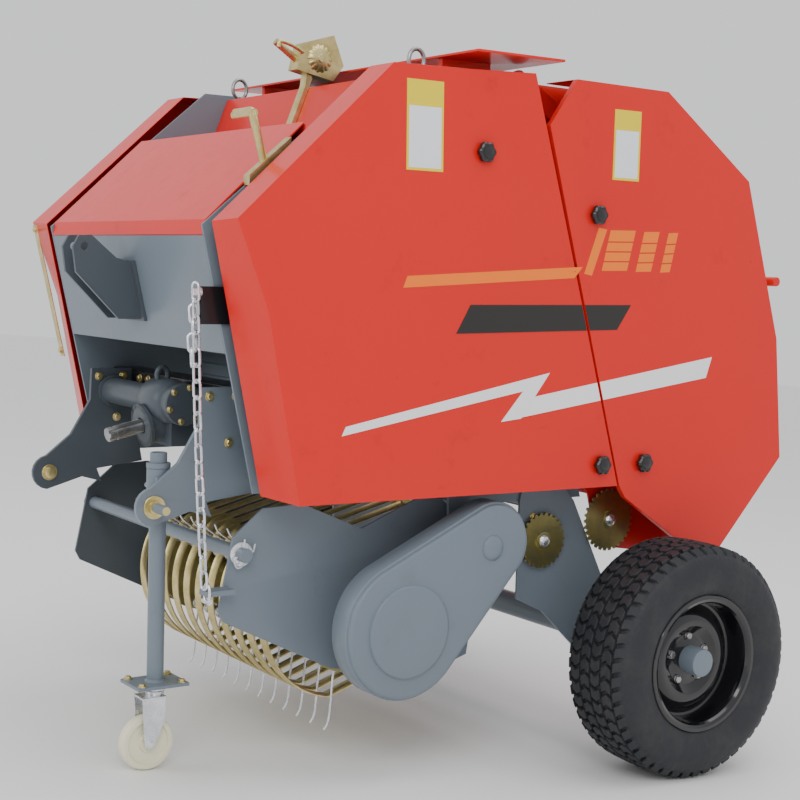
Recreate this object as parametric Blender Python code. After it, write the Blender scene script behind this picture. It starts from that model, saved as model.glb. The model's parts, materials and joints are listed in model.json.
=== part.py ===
"""Small tractor-towed round baler, parked on its two wheels and its jack castor.

Units are metres.  Every piece is drawn in the body frame: +X is the machine's left side, the front is
at -Y, +Z is up, Y = 0 is the front top corner of the side plates and Z = 0 is the foot of the tyres.
The root empty then leans the whole machine nose-down on its axle, the way it stands on its jack.
"""
import math

import bmesh
import bpy
from mathutils import Matrix, Vector

# ---- driving dimensions -------------------------------------------------------------------------
GAP = 0.0003                      # gap left between two pieces that rest on each other
INNER_HALF = 0.422                # centre plane to the inner face of a side plate
PLATE = 0.006                     # side plate thickness
OUTER_HALF = INNER_HALF + PLATE
SEAT = OUTER_HALF + GAP           # where a piece bolted to the outside of a side plate begins
COVER_IN = 0.4645                 # inner edge of a side cover's flanges
COVER_OUT = 0.580                 # outer face of a side cover
SHEET = 0.003                     # cover sheet thickness
NOSE_DOWN = math.radians(3.2)     # lean of the parked machine about its axle

FRONT_TOP_Z = 1.280               # front top corner of the side plates, at Y = 0
FRONT_LEAN = 0.2335               # how far the front edge runs back for each metre down
PLATE_FOOT_Z = 0.700              # lower edge of the side plates ahead of the bottom rollers
PLATE_HEEL_Z = 0.640              # and under them
TOP_Z = 1.652                     # upper edge of the side plates
SEAM_TOP = (0.802, 1.538)         # seam between the front half and the tailgate
SEAM_FOOT = (1.063, 0.684)
SEAM_HALF_GAP = 0.004
PIVOT = (0.822, 1.648)            # tailgate hinge
LUG_R = 0.028
PIVOT_BORE_R = 0.0115
PIVOT_PIN_R = 0.0108

CHAMBER = (0.860, 1.070)          # bale chamber centre
CHAMBER_R = 0.410                 # circle through the roller centres
ROLLER_R = 0.058
ROLLER_SHAFT_R = 0.0175
FRONT_ROLLER_ANGLES = (112, 134, 156, 178, 200, 260, 283)
GATE_ROLLER_ANGLES = (-50, -26, -2, 22, 46, 68)

AXLE = (1.168, 0.283)
TYRE_X = 0.699                    # centre plane of a tyre
TYRE_R = 0.283
BEAD_R = 0.1510
STUB_R = 0.021

PICKUP_PIVOT = (0.701, 0.570)
PICKUP_IN = 0.400                 # inner face of a pickup side plate
PICKUP_PLATE = 0.008
REEL = (0.430, 0.395)
TINE_TIP_R = 0.283
TINE_BAR_R = 0.120                # circle through the tine bars
TINE_BARS = 3
TINE_PHASE = -99
TINE_COUNT = 12
TINE_PITCH = 0.064
BAND_WIDTH = 0.034
BAND_SHEET = 0.003
BAND_R = 0.205

HITCH_X = 0.301                   # inner face of a lower link plate
HITCH_PLATE = 0.012
HITCH_PIN = (-0.045, 0.665)
HITCH_PIN_R = 0.011
TOP_LINK_GAP_HALF = 0.026
TOP_LINK_EAR = 0.010
TOP_LINK_HOLE = (-0.098, 1.229)
CROSS_BEAM_FRONT = 0.175
CROSS_BEAM_Z = (0.840, 0.920)

PTO_BASE = (0.100, 0.8173)
PTO_TILT = math.radians(13)
PTO_R = 0.0175
PTO_BORE_R = 0.0195
PTO_REACH = 0.125

JACK = (0.268, -0.015)            # X and Y of the jack's leg
LEG_R = 0.019
SLEEVE_Z = (0.655, 0.745)
CASTOR_R = 0.0625
CASTOR_HALF_WIDTH = 0.016
CASTOR_TRAIL = 0.020
FOOT_ABOVE_WHEEL = 0.1285         # foot plate's underside above the castor wheel's centre

SIDES = (("left", 1), ("right", -1))

# ---- materials: name, colour, roughness, metallic ------------------------------------------------
FINISHES = {
    "red_paint": ((0.62, 0.035, 0.025, 1), 0.32, 0.0),
    "grey_paint": ((0.20, 0.25, 0.29, 1), 0.40, 0.1),
    "black_paint": ((0.02, 0.02, 0.022, 1), 0.35, 0.0),
    "rim_black": ((0.012, 0.012, 0.014, 1), 0.18, 0.1),
    "yellow_zinc": ((0.62, 0.47, 0.20, 1), 0.38, 0.9),
    "white_zinc": ((0.70, 0.71, 0.73, 1), 0.35, 0.9),
    "bare_steel": ((0.42, 0.42, 0.42, 1), 0.35, 0.9),
    "tyre_rubber": ((0.022, 0.022, 0.022, 1), 0.85, 0.0),
    "cream_nylon": ((0.80, 0.74, 0.52, 1), 0.45, 0.0),
}


def front_edge(z):
    """Y of the machine's leaning front line at height z."""
    return (FRONT_TOP_Z - z) * FRONT_LEAN


def seam_edge(z, offset):
    """Y of the seam line at height z, moved square to itself by offset."""
    slope = (SEAM_FOOT[0] - SEAM_TOP[0]) / (SEAM_TOP[1] - SEAM_FOOT[1])
    return SEAM_TOP[0] + (SEAM_TOP[1] - z) * slope + offset * math.hypot(1, slope)


def castor_centre_z():
    """Height at which the castor wheel stands on the floor when the machine leans on its axle."""
    y = JACK[1] - CASTOR_TRAIL - AXLE[0]
    drop = CASTOR_R - TYRE_R - y * math.sin(NOSE_DOWN)
    return AXLE[1] + drop / math.cos(NOSE_DOWN)


def arc(centre, radius, start, end, steps):
    """Points along an arc in the YZ plane, angles in degrees from +Y toward +Z."""
    points = []
    for step in range(steps + 1):
        angle = math.radians(start + (end - start) * step / steps)
        points.append((centre[0] + radius * math.cos(angle), centre[1] + radius * math.sin(angle)))
    return points


def on_chamber(angle):
    """Centre of the roller at an angle round the bale chamber."""
    return arc(CHAMBER, CHAMBER_R, angle, angle, 1)[0]


# ---- shapes -------------------------------------------------------------------------------------
def to_mesh(bm):
    """Finish a bmesh as a mesh with outward faces."""
    bmesh.ops.recalc_face_normals(bm, faces=bm.faces)
    mesh = bpy.data.meshes.new("shape")
    bm.to_mesh(mesh)
    bm.free()
    return mesh


def prism(outline, x0, x1):
    """A YZ outline carried along X from x0 to x1."""
    bm = bmesh.new()
    ring = [bm.verts.new((x0, y, z)) for y, z in outline]
    face = bm.faces.new(ring)
    swept = bmesh.ops.extrude_face_region(bm, geom=[face])
    moved = [item for item in swept["geom"] if isinstance(item, bmesh.types.BMVert)]
    bmesh.ops.translate(bm, verts=moved, vec=(x1 - x0, 0, 0))
    return to_mesh(bm)


def box(x, y, z):
    """A block between pairs of X, Y and Z values."""
    return prism([(y[0], z[0]), (y[1], z[0]), (y[1], z[1]), (y[0], z[1])], x[0], x[1])


def lathe(origin, direction, profile, sides):
    """Turn (along, radius) points about an axis; the profile closes on itself or ends on the axis."""
    bm = bmesh.new()
    forward = Vector(direction).normalized()
    turn = forward.to_track_quat("Z", "X").to_matrix().to_4x4()
    place = Matrix.Translation(origin) @ turn
    rings = []
    for along, radius in profile:
        if radius == 0:
            rings.append([bm.verts.new(place @ Vector((0, 0, along)))])
            continue
        ring = []
        for side in range(sides):
            angle = 2 * math.pi * side / sides
            point = Vector((radius * math.cos(angle), radius * math.sin(angle), along))
            ring.append(bm.verts.new(place @ point))
        rings.append(ring)
    pairs = list(zip(rings, rings[1:]))
    if len(rings[0]) > 1:
        pairs.append((rings[-1], rings[0]))
    for first, second in pairs:
        for side in range(sides):
            after = (side + 1) % sides
            if len(first) == 1:
                bm.faces.new((first[0], second[side], second[after]))
            elif len(second) == 1:
                bm.faces.new((first[side], second[0], first[after]))
            else:
                bm.faces.new((first[side], second[side], second[after], first[after]))
    return to_mesh(bm)


def rod(start, end, radius, sides=16):
    """A round bar between two points."""
    length = (Vector(end) - Vector(start)).length
    profile = [(0, 0), (0, radius), (length, radius), (length, 0)]
    return lathe(start, Vector(end) - Vector(start), profile, sides)


def together(meshes):
    """Several meshes as one, still overlapping."""
    bm = bmesh.new()
    for mesh in meshes:
        bm.from_mesh(mesh)
    return to_mesh(bm)


def boolean(base, tool, operation):
    """Join the tool to the base, or cut it from it; a list is one tool of shapes that don't touch."""
    first = bpy.data.objects.new("base", base)
    second = bpy.data.objects.new("tool", together(tool if isinstance(tool, list) else [tool]))
    for item in (first, second):
        bpy.context.scene.collection.objects.link(item)
    modifier = first.modifiers.new("boolean", "BOOLEAN")
    modifier.operation = operation
    modifier.solver = "EXACT"
    modifier.object = second
    graph = bpy.context.evaluated_depsgraph_get()
    result = bpy.data.meshes.new_from_object(first.evaluated_get(graph))
    for item in (first, second):
        bpy.data.objects.remove(item)
    return result


def union(base, *tools):
    for tool in tools:
        base = boolean(base, tool, "UNION")
    return base


def cut(base, *tools):
    for tool in tools:
        base = boolean(base, tool, "DIFFERENCE")
    return base


def offset_outline(outline, distances):
    """Move each edge of a counter-clockwise outline outward by its own distance."""
    lines = []
    count = len(outline)
    for index, distance in enumerate(distances):
        start = Vector(outline[index])
        along = (Vector(outline[(index + 1) % count]) - start).normalized()
        lines.append((start + Vector((along.y, -along.x)) * distance, along))
    corners = []
    for index in range(count):
        before, before_along = lines[index - 1]
        here, here_along = lines[index]
        cross = before_along.x * here_along.y - before_along.y * here_along.x
        step = here - before
        reach = (step.x * here_along.y - step.y * here_along.x) / cross
        corners.append(tuple(before + before_along * reach))
    return corners


# ---- scene --------------------------------------------------------------------------------------
PLACES = {}


def clear_scene():
    for item in list(bpy.data.objects):
        bpy.data.objects.remove(item)


def finish(name):
    """The named finish as a Principled material."""
    found = bpy.data.materials.get(name)
    if found:
        return found
    colour, roughness, metallic = FINISHES[name]
    made = bpy.data.materials.new(name)
    made.use_nodes = True
    shader = made.node_tree.nodes["Principled BSDF"]
    shader.inputs["Base Color"].default_value = colour
    shader.inputs["Roughness"].default_value = roughness
    shader.inputs["Metallic"].default_value = metallic
    return made


def axis(name, place, parent=None):
    """An empty on a joint's axis, given in the body frame."""
    empty = bpy.data.objects.new(name, None)
    bpy.context.scene.collection.objects.link(empty)
    PLACES[name] = Vector(place)
    empty.location = PLACES[name]
    if parent:
        empty.parent = bpy.data.objects[parent]
        empty.location = PLACES[name] - PLACES[parent]


def add(name, mesh, look, parent="chassis"):
    """Put a finished mesh in the scene as one named piece, carried by an empty."""
    mesh.transform(Matrix.Translation(-PLACES[parent]))
    mesh.name = name
    mesh.materials.clear()
    mesh.materials.append(finish(look))
    mesh.shade_smooth()
    mesh.set_sharp_from_angle(angle=math.radians(30))
    piece = bpy.data.objects.new(name, mesh)
    bpy.context.scene.collection.objects.link(piece)
    piece.parent = bpy.data.objects[parent]


def across(side, x0, x1):
    """An X range on one side of the machine, in rising order."""
    return tuple(sorted((side * x0, side * x1)))


# ---- frame --------------------------------------------------------------------------------------
def side_plates():
    outline = [(front_edge(FRONT_TOP_Z), FRONT_TOP_Z), (front_edge(PLATE_FOOT_Z), PLATE_FOOT_Z)]
    outline += [(0.680, PLATE_FOOT_Z), (0.715, PLATE_HEEL_Z)]
    outline += [(seam_edge(PLATE_HEEL_Z, -SEAM_HALF_GAP), PLATE_HEEL_Z)]
    outline += [(seam_edge(1.590, -SEAM_HALF_GAP), 1.590)]
    outline += arc(PIVOT, LUG_R, -90, 90, 8)
    outline += [(0.765, TOP_Z), (0.430, TOP_Z)]
    for name, side in SIDES:
        plate = prism(outline, side * INNER_HALF, side * OUTER_HALF)
        hole = rod((side * 0.40, *PIVOT), (side * 0.45, *PIVOT), PIVOT_BORE_R)
        add(f"side_plate_{name}", cut(plate, hole), "red_paint")


def front_beam():
    """A channel across the front, its web on the leaning front line."""
    top, foot, depth, wall = 1.258, 1.006, 0.070, 0.006
    outline = [
        (front_edge(top), top),
        (front_edge(foot), foot),
        (front_edge(foot) + depth, foot),
        (front_edge(foot) + depth, foot + wall),
        (front_edge(foot + wall) + wall, foot + wall),
        (front_edge(top - wall) + wall, top - wall),
        (front_edge(top) + depth, top - wall),
        (front_edge(top) + depth, top),
    ]
    add("front_beam", prism(outline, GAP - INNER_HALF, INNER_HALF - GAP), "grey_paint")


def top_link_clevis():
    top, foot, pad = 1.200, 1.060, 0.008
    base = [
        (front_edge(top) - GAP, top),
        (front_edge(top) - GAP - pad, top),
        (front_edge(foot) - GAP - pad, foot),
        (front_edge(foot) - GAP, foot),
    ]
    ear = [
        (front_edge(1.195) - 0.004, 1.195),
        (-0.020, 1.205),
        (-0.082, 1.256),
        (-0.112, 1.254),
        (-0.126, 1.228),
        (-0.118, 1.170),
        (-0.012, 1.064),
        (front_edge(1.064) - 0.004, 1.064),
    ]
    ears = [prism(ear, s * TOP_LINK_GAP_HALF, s * (TOP_LINK_GAP_HALF + TOP_LINK_EAR)) for _, s in SIDES]
    body = union(prism(base, -0.055, 0.055), ears)
    hole = rod((-0.06, *TOP_LINK_HOLE), (0.06, *TOP_LINK_HOLE), 0.00975)
    add("top_link_clevis", cut(body, hole), "grey_paint")


def lower_cross_beam():
    reach = INNER_HALF - GAP
    y = (CROSS_BEAM_FRONT, CROSS_BEAM_FRONT + 0.080)
    add("lower_cross_beam", box((-reach, reach), y, CROSS_BEAM_Z), "grey_paint")


def hitch_plates():
    rear = CROSS_BEAM_FRONT - GAP
    outline = arc(HITCH_PIN, 0.043, 100, 262, 9)
    outline += [(0.042, 0.650), (0.096, 0.635), (0.082, 0.669), (0.207, 0.684), (0.200, 0.720)]
    outline += [(rear, CROSS_BEAM_Z[0] - 0.002), (rear, 0.925), (0.065, 0.925), (0.062, 0.845)]
    outline += [(0.011, 0.759)]
    for name, side in SIDES:
        outer = HITCH_X + HITCH_PLATE
        plate = prism(outline, side * HITCH_X, side * outer)
        pin = rod((side * (outer - 0.006), *HITCH_PIN), (side * 0.375, *HITCH_PIN), HITCH_PIN_R, 20)
        washer = rod((side * (outer - 0.002), *HITCH_PIN), (side * (outer + 0.004), *HITCH_PIN), 0.024, 20)
        add(f"hitch_plate_{name}", union(plate, pin, washer), "grey_paint")


def twine_box():
    """A sloping hood over the front beam and an open tray behind it."""
    wall = 0.004
    reach = INNER_HALF - GAP
    hood = [
        (0.004, 1.258 + GAP),
        (0.004 + wall, 1.258 + GAP),
        (0.0145, 1.2890),
        (0.246, 1.5065),
        (0.246, 1.5125),
        (0.0100, 1.2910),
    ]
    tray = [
        (0.2463, 1.508),
        (0.2463, 1.320),
        (0.398, 1.378),
        (0.500, 1.640),
        (0.496, 1.640),
        (0.3950, 1.3815),
        (0.2503, 1.3260),
        (0.2503, 1.508),
    ]
    add("twine_box_hood", prism(hood, -reach, reach), "red_paint")
    add("twine_box_tray", prism(tray, -reach, reach), "red_paint")


def gearbox():
    along = Vector((0, -math.cos(PTO_TILT), -math.sin(PTO_TILT)))
    base = Vector((0, *PTO_BASE))
    housing = box((-0.070, 0.072), (0.109, CROSS_BEAM_FRONT - GAP), (0.765, 0.885))
    seat = -0.005 - GAP
    profile = [(-0.030, 0), (-0.030, 0.052), (0.010, 0.046), (0.024, 0.046), (0.026, 0.052), (0.036, 0.052)]
    profile += [(0.036, PTO_BORE_R), (seat, PTO_BORE_R), (seat, 0)]
    bell = lathe(base, along, profile, 24)
    tube = rod((GAP - HITCH_X, 0.122, 0.868), (0.105, 0.122, 0.868), 0.033, 20)
    flange = rod((0.100, 0.122, 0.868), (0.118, 0.122, 0.868), 0.044, 20)
    add("gearbox", union(housing, bell, tube, flange), "grey_paint")
    axis("pto_axis", base, "chassis")
    shaft = rod(base - along * 0.005, base + along * PTO_REACH, PTO_R, 20)
    add("pto_shaft", shaft, "bare_steel", "pto_axis")


def bridge_plate():
    """The plate across the top, on a foot bar along each side plate."""
    plate = box((-COVER_OUT, COVER_OUT), (0.595, 0.845), (1.684, 1.690))
    feet = []
    for _, side in SIDES:
        feet.append(box(across(side, 0.412, 0.427), (0.605, 0.745), (TOP_Z + GAP, 1.686)))
    add("bridge_plate", union(plate, feet), "red_paint")


def axle_beam():
    outline = [(0.905, 0.800), (0.873, 0.640), (0.873, 0.399), (0.954, 0.361), (1.060, 0.262)]
    outline += arc(AXLE, 0.060, -110, 60, 7)
    outline += [(1.045, 0.634), (0.985, 0.700), (0.985, 0.800)]
    tube = rod((-0.575, *AXLE), (0.575, *AXLE), 0.032, 20)
    stub = rod((-0.762, *AXLE), (0.762, *AXLE), STUB_R, 20)
    plates = [prism(outline, side * SEAT, side * (SEAT + 0.008)) for _, side in SIDES]
    spigot = rod((SEAT + 0.004, 0.937, 0.542), (0.458, 0.937, 0.542), 0.010)
    add("axle_beam", union(tube, stub, plates, spigot), "grey_paint")


def pickup_hangers():
    """The plates below the frame that the pickup swings on, each with its pin."""
    outline = [(0.735, 0.800), (0.650, 0.800), (0.660, 0.590)] + arc(PICKUP_PIVOT, 0.036, 180, 360, 8)
    for name, side in SIDES:
        plate = prism(outline, side * SEAT, side * (SEAT + 0.008))
        pin = rod((side * (SEAT + 0.004), *PICKUP_PIVOT), (side * 0.392, *PICKUP_PIVOT), 0.012)
        add(f"pickup_hanger_{name}", union(plate, pin), "grey_paint")


def fittings():
    """The small pieces on the frame: chain bracket, crank, ratchet and latch strap."""
    add("chain_bracket", box((SEAT, SEAT + 0.008), (-0.003, 0.066), (1.070, 1.150)), "black_paint")
    slope = (TOP_Z - FRONT_TOP_Z) / 0.430
    top = [(0.100, 0.200), (0.200, 0.100)]
    foot = [(y, FRONT_TOP_Z + y * slope + GAP) for y in top[0]]
    foot += [(y, FRONT_TOP_Z + y * slope + 0.022) for y in top[1]]
    shank = rod((0.435, 0.140, 1.4165), (0.435, 0.112, 1.525), 0.008, 12)
    grip = rod((0.442, 0.112, 1.520), (0.350, 0.112, 1.520), 0.009, 12)
    add("crank_handle", union(prism(foot, INNER_HALF, 0.448), shank, grip), "yellow_zinc")
    strap = [(0.4370, 1.5200), (0.4470, 1.5165), (0.4955, 1.6405), (0.5040, 1.6600), (0.5040, 1.7000)]
    strap += [(0.4920, 1.7000), (0.4850, 1.6440)]
    body = [(0.455, 1.680), (0.560, 1.660), (0.590, 1.700), (0.560, 1.773), (0.470, 1.745)]
    parts = [prism(strap, -0.014, 0.014), prism(body, -0.022, 0.022)]
    parts.append(rod((0, 0.475, 1.700), (0, 0.405, 1.745), 0.009, 12))
    add("ratchet_tensioner", union(*parts), "yellow_zinc")
    latch = []
    for z, back in ((1.285, GAP), (1.285, 0.0035), (0.940, 0.0035), (0.940, GAP)):
        latch.append((0.010 + (1.290 - z) * 0.2349 - back, z))
    add("latch_strap", prism(latch, -0.572, -0.547), "white_zinc")


# ---- covers -------------------------------------------------------------------------------------
def cover(outline, open_edges, studs, side):
    """A sheet box, open toward the machine and along some edges, held on studs."""
    distances = [0.020 if index in open_edges else -SHEET for index in range(len(outline))]
    shell = prism(outline, side * COVER_IN, side * COVER_OUT)
    hollow = prism(offset_outline(outline, distances), side * (COVER_IN - 0.02), side * (COVER_OUT - SHEET))
    shell = cut(shell, hollow)
    posts = []
    knobs = []
    for stud in studs:
        posts.append(rod((side * SEAT, *stud), (side * (COVER_OUT + 0.012), *stud), 0.008, 12))
        knobs.append(rod((side * (COVER_OUT - 0.001), *stud), (side * (COVER_OUT + 0.020), *stud), 0.022, 16))
    return union(shell, posts, knobs)


def front_covers():
    outline = [(0.010, 1.290), (0.150, 0.694), (seam_edge(0.688, -0.003), 0.688)]
    outline += [(seam_edge(1.651, -0.003), 1.651), (0.386, 1.642)]
    studs = ((0.630, 1.465), (1.000, 0.743))
    for name, side in SIDES:
        add(f"front_cover_{name}", cover(outline, (1, 2), studs, side), "red_paint")


def gate_outline(offset):
    """Counter-clockwise outline of the tailgate, its seam moved rearward by offset."""
    return [
        (seam_edge(0.688, offset), 0.688),
        (1.085, 0.658),
        (1.379, 0.468),
        (1.625, 0.735),
        (1.591, 1.046),
        (1.462, 1.445),
        (1.172, 1.645),
        (0.884, 1.649),
        (seam_edge(1.539, offset), 1.539),
    ]


def gate_covers():
    studs = ((0.958, 1.339), (1.136, 0.742))
    for name, side in SIDES:
        shape = cover(gate_outline(0.003), (0, 1, 7, 8), studs, side)
        add(f"gate_cover_{name}", shape, "red_paint", "gate_axis")


# ---- tailgate -----------------------------------------------------------------------------------
def gate_sides():
    outline = gate_outline(SEAM_HALF_GAP)
    outline[1:3] = [(1.098, 0.645), (1.128, 0.535), (1.200, 0.500), (1.379, 0.472)]
    arm = [(0.935, 1.560), (0.935, 1.612)] + arc(PIVOT, LUG_R, 80, 260, 9)
    for name, side in SIDES:
        plate = prism(outline, side * INNER_HALF, side * OUTER_HALF)
        spacer = box(across(side, 0.425, 0.438), (0.897, 0.930), (1.568, 1.606))
        lug = prism(arm, side * 0.434, side * 0.442)
        pin = rod((side * 0.438, *PIVOT), (side * 0.412, *PIVOT), PIVOT_PIN_R)
        parts = [plate, spacer, lug, pin]
        if side > 0:
            parts.append(rod((0.426, 1.150, 0.580), (0.458, 1.150, 0.580), 0.010))
        add(f"gate_side_{name}", union(*parts), "red_paint", "gate_axis")


def gate_beams():
    reach = INNER_HALF - GAP
    add("gate_beam_upper", box((-reach, reach), (1.270, 1.330), (1.385, 1.445)), "red_paint", "gate_axis")
    add("gate_beam_lower", box((-reach, reach), (1.310, 1.360), (0.600, 0.650)), "red_paint", "gate_axis")
    bracket = [(1.450, 1.170), (1.585, 1.182), (1.585, 1.206), (1.450, 1.218)]
    bar = rod((-0.585, 1.575, 1.194), (0.585, 1.575, 1.194), 0.012)
    brackets = [prism(bracket, side * SEAT, side * (SEAT + 0.008)) for _, side in SIDES]
    add("gate_bumper", union(bar, brackets), "red_paint", "gate_axis")


# ---- rollers ------------------------------------------------------------------------------------
def roller(name, centre, parent):
    """A press roller, its shaft ends against the side plates."""
    axis(f"{name}_axis", (0, *centre), parent)
    half = INNER_HALF - GAP
    body = half - 0.010
    profile = [(-half, 0), (-half, ROLLER_SHAFT_R), (-body, ROLLER_SHAFT_R), (-body, ROLLER_R)]
    profile += [(-along, radius) for along, radius in reversed(profile)]
    add(name, lathe((0, *centre), (1, 0, 0), profile, 14), "grey_paint", f"{name}_axis")


def rollers():
    for number, angle in enumerate(FRONT_ROLLER_ANGLES, 1):
        roller(f"front_roller_{number}", on_chamber(angle), "chassis")
    for number, angle in enumerate(GATE_ROLLER_ANGLES, 1):
        roller(f"gate_roller_{number}", on_chamber(angle), "gate_axis")


def sprocket(name, centre, radius, parent):
    """A plain toothed-wheel blank on its spigot, against the collar that the spigot's plate gives."""
    axis(f"{name}_axis", (0.449, *centre), parent)
    bore = 0.0108
    profile = [(-0.003, bore), (-0.003, radius), (0.003, radius), (0.003, 0.022), (0.0075, 0.022), (0.0075, bore)]
    add(name, lathe((0.449, *centre), (1, 0, 0), profile, 20), "yellow_zinc", f"{name}_axis")


# ---- pickup -------------------------------------------------------------------------------------
def pickup_sides():
    outline = [(0.068, 0.440), (0.081, 0.416), (0.357, 0.282), (0.600, 0.225), (0.745, 0.270)]
    outline += [(0.755, 0.330), (0.742, 0.540), (0.735, 0.595), (0.655, 0.658), (0.580, 0.658)]
    outline += [(0.434, 0.600), (0.272, 0.668), (0.175, 0.663), (0.101, 0.603)]
    for name, side in SIDES:
        plate = prism(outline, side * PICKUP_IN, side * (PICKUP_IN + PICKUP_PLATE))
        parts = [plate]
        if side > 0:
            parts.append(box((0.404, 0.444), (0.022, 0.090), (0.484, 0.496)))
        body = union(*parts) if len(parts) > 1 else plate
        holes = [rod((side * 0.39, *PICKUP_PIVOT), (side * 0.42, *PICKUP_PIVOT), 0.0128)]
        holes.append(rod((side * 0.39, 0.120, 0.565), (side * 0.42, 0.120, 0.565), 0.016 + GAP))
        add(f"pickup_side_{name}", cut(body, *holes), "grey_paint", "pickup_axis")


def band_path():
    """The line a stripper band follows round the reel, from the throat to the floor bar."""
    upper = (0.622, 0.640)
    lower = (0.720, 0.300)
    return [upper] + arc(REEL, BAND_R, 128, 262, 8) + [lower]


def ribbon(path, thickness, x0, x1):
    """A strip of even thickness that follows a YZ path, carried along X."""
    left = []
    right = []
    for index, point in enumerate(path):
        before = Vector(path[max(index - 1, 0)])
        after = Vector(path[min(index + 1, len(path) - 1)])
        along = (after - before).normalized()
        across_path = Vector((-along.y, along.x)) * thickness / 2
        left.append(tuple(Vector(point) + across_path))
        right.append(tuple(Vector(point) - across_path))
    return prism(left + right[::-1], x0, x1)


def pickup_bands():
    """Stripper bands between the tines, joined by a bar at each end."""
    reach = PICKUP_IN - GAP
    throat_bar = box((-reach, reach), (0.612, 0.634), (0.628, 0.650))
    floor_bar = box((-reach, reach), (0.708, 0.732), (0.290, 0.312))
    bands = []
    for number in range(TINE_COUNT - 1):
        middle = (number - (TINE_COUNT - 2) / 2) * TINE_PITCH
        bands.append(ribbon(band_path(), BAND_SHEET, middle - BAND_WIDTH / 2, middle + BAND_WIDTH / 2))
    add("pickup_bands", union(throat_bar, bands, floor_bar), "yellow_zinc", "pickup_axis")


def guard_bar():
    add("guard_bar", rod((-0.436, 0.120, 0.565), (0.436, 0.120, 0.565), 0.016, 16), "grey_paint", "pickup_axis")


def chain_case():
    """The oval case over the reel's chain drive, on two hubs against the pickup's side."""
    big, small = (0.461, 0.390), PICKUP_PIVOT
    outline = arc(big, 0.160, 85, 300, 16) + arc(small, 0.098, -55, 85, 8)
    case = prism(outline, 0.500, 0.572)
    disc = rod((0.570, *big), (0.580, *big), 0.105, 32)
    hub = rod((PICKUP_IN + PICKUP_PLATE + GAP, *REEL), (0.505, *REEL), 0.050, 20)
    add("chain_case", union(case, disc, hub), "grey_paint", "pickup_axis")


def pickup_reel():
    """Shaft, end spiders, tine bars and tines as one turning piece."""
    axis("reel_axis", (0, *REEL), "pickup_axis")
    reach = PICKUP_IN - GAP
    half = [(-reach, 0), (-reach, 0.022), (-0.376, 0.022), (-0.376, 0.138), (-0.370, 0.138), (-0.370, 0.022)]
    shaft = lathe((0, *REEL), (1, 0, 0), half + [(-along, radius) for along, radius in reversed(half)], 24)
    bars = []
    tines = []
    for number in range(TINE_BARS):
        angle = TINE_PHASE + number * 360 / TINE_BARS
        seat = arc(REEL, TINE_BAR_R, angle, angle, 1)[0]
        root = arc(REEL, TINE_BAR_R + 0.005, angle, angle, 1)[0]
        tip = arc(REEL, TINE_TIP_R, angle, angle, 1)[0]
        bars.append(rod((-0.384, *seat), (0.384, *seat), 0.011, 10))
        for tine in range(TINE_COUNT):
            x = (tine - (TINE_COUNT - 1) / 2) * TINE_PITCH
            tines.append(rod((x, *root), (x, *tip), 0.003, 5))
    add("pickup_reel", union(shaft, bars, tines), "yellow_zinc", "reel_axis")


def lift_chain():
    """The chain's plain core, from its bracket down to the pickup's ledge."""
    x = SEAT + 0.004
    tilt_room = 0.0005
    top = (x, 0.006, 1.070 - GAP - tilt_room)
    chain = rod(top, (x, 0.036, 0.496 + GAP + tilt_room), 0.007, 8)
    add("lift_chain", chain, "white_zinc")


# ---- jack ---------------------------------------------------------------------------------------
def jack():
    wheel_z = castor_centre_z()
    foot = wheel_z + FOOT_ABOVE_WHEEL
    x, y = JACK
    ring = [(SLEEVE_Z[0], LEG_R + 0.0015), (SLEEVE_Z[0], 0.026), (SLEEVE_Z[1], 0.026), (SLEEVE_Z[1], LEG_R + 0.0015)]
    sleeve = lathe((x, y, 0), (0, 0, 1), ring, 24)
    lug = box((x + 0.0222, HITCH_X - GAP), (y - 0.018, y + 0.018), (0.672, 0.728))
    add("jack_sleeve", union(sleeve, lug), "grey_paint")
    axis("jack_axis", (x, y, foot), "chassis")
    collar = (SLEEVE_Z[1] + GAP, 0.757)
    profile = [(foot + 0.003, 0), (foot + 0.003, LEG_R), (collar[0], LEG_R), (collar[0], 0.027)]
    profile += [(collar[1], 0.027), (collar[1], LEG_R), (0.780, LEG_R), (0.780, 0)]
    leg = lathe((x, y, 0), (0, 0, 1), profile, 24)
    plate = box((x - 0.050, x + 0.050), (y - 0.062, y + 0.062), (foot, foot + 0.008))
    add("jack_leg", union(plate, leg), "grey_paint", "jack_axis")

    axis("swivel_axis", (x, y, foot), "jack_axis")
    wheel_y = y - CASTOR_TRAIL
    head = rod((x, y, foot - GAP), (x, y, foot - 0.024), 0.024, 20)
    crown = box((x - 0.026, x + 0.026), (wheel_y - 0.020, y + 0.018), (foot - 0.029, foot - 0.023))
    parts = [head, crown]
    cheek = [(wheel_y - 0.020, foot - 0.024), (wheel_y - 0.012, wheel_z - 0.008)]
    cheek += [(wheel_y + 0.012, wheel_z - 0.008), (y + 0.018, foot - 0.024)]
    for _, side in SIDES:
        parts.append(prism(cheek, x + side * 0.0215, x + side * 0.0258))
    parts.append(rod((x - 0.031, wheel_y, wheel_z), (x + 0.031, wheel_y, wheel_z), 0.006, 12))
    add("castor_fork", union(*parts), "white_zinc", "swivel_axis")

    axis("castor_axis", (x, wheel_y, wheel_z), "swivel_axis")
    half = CASTOR_HALF_WIDTH
    profile = [(-half, 0.0066), (-half, 0.052), (-half + 0.006, CASTOR_R), (half - 0.006, CASTOR_R)]
    profile += [(half, 0.052), (half, 0.0066)]
    add("castor_wheel", lathe((x, wheel_y, wheel_z), (1, 0, 0), profile, 24), "cream_nylon", "castor_axis")


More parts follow.
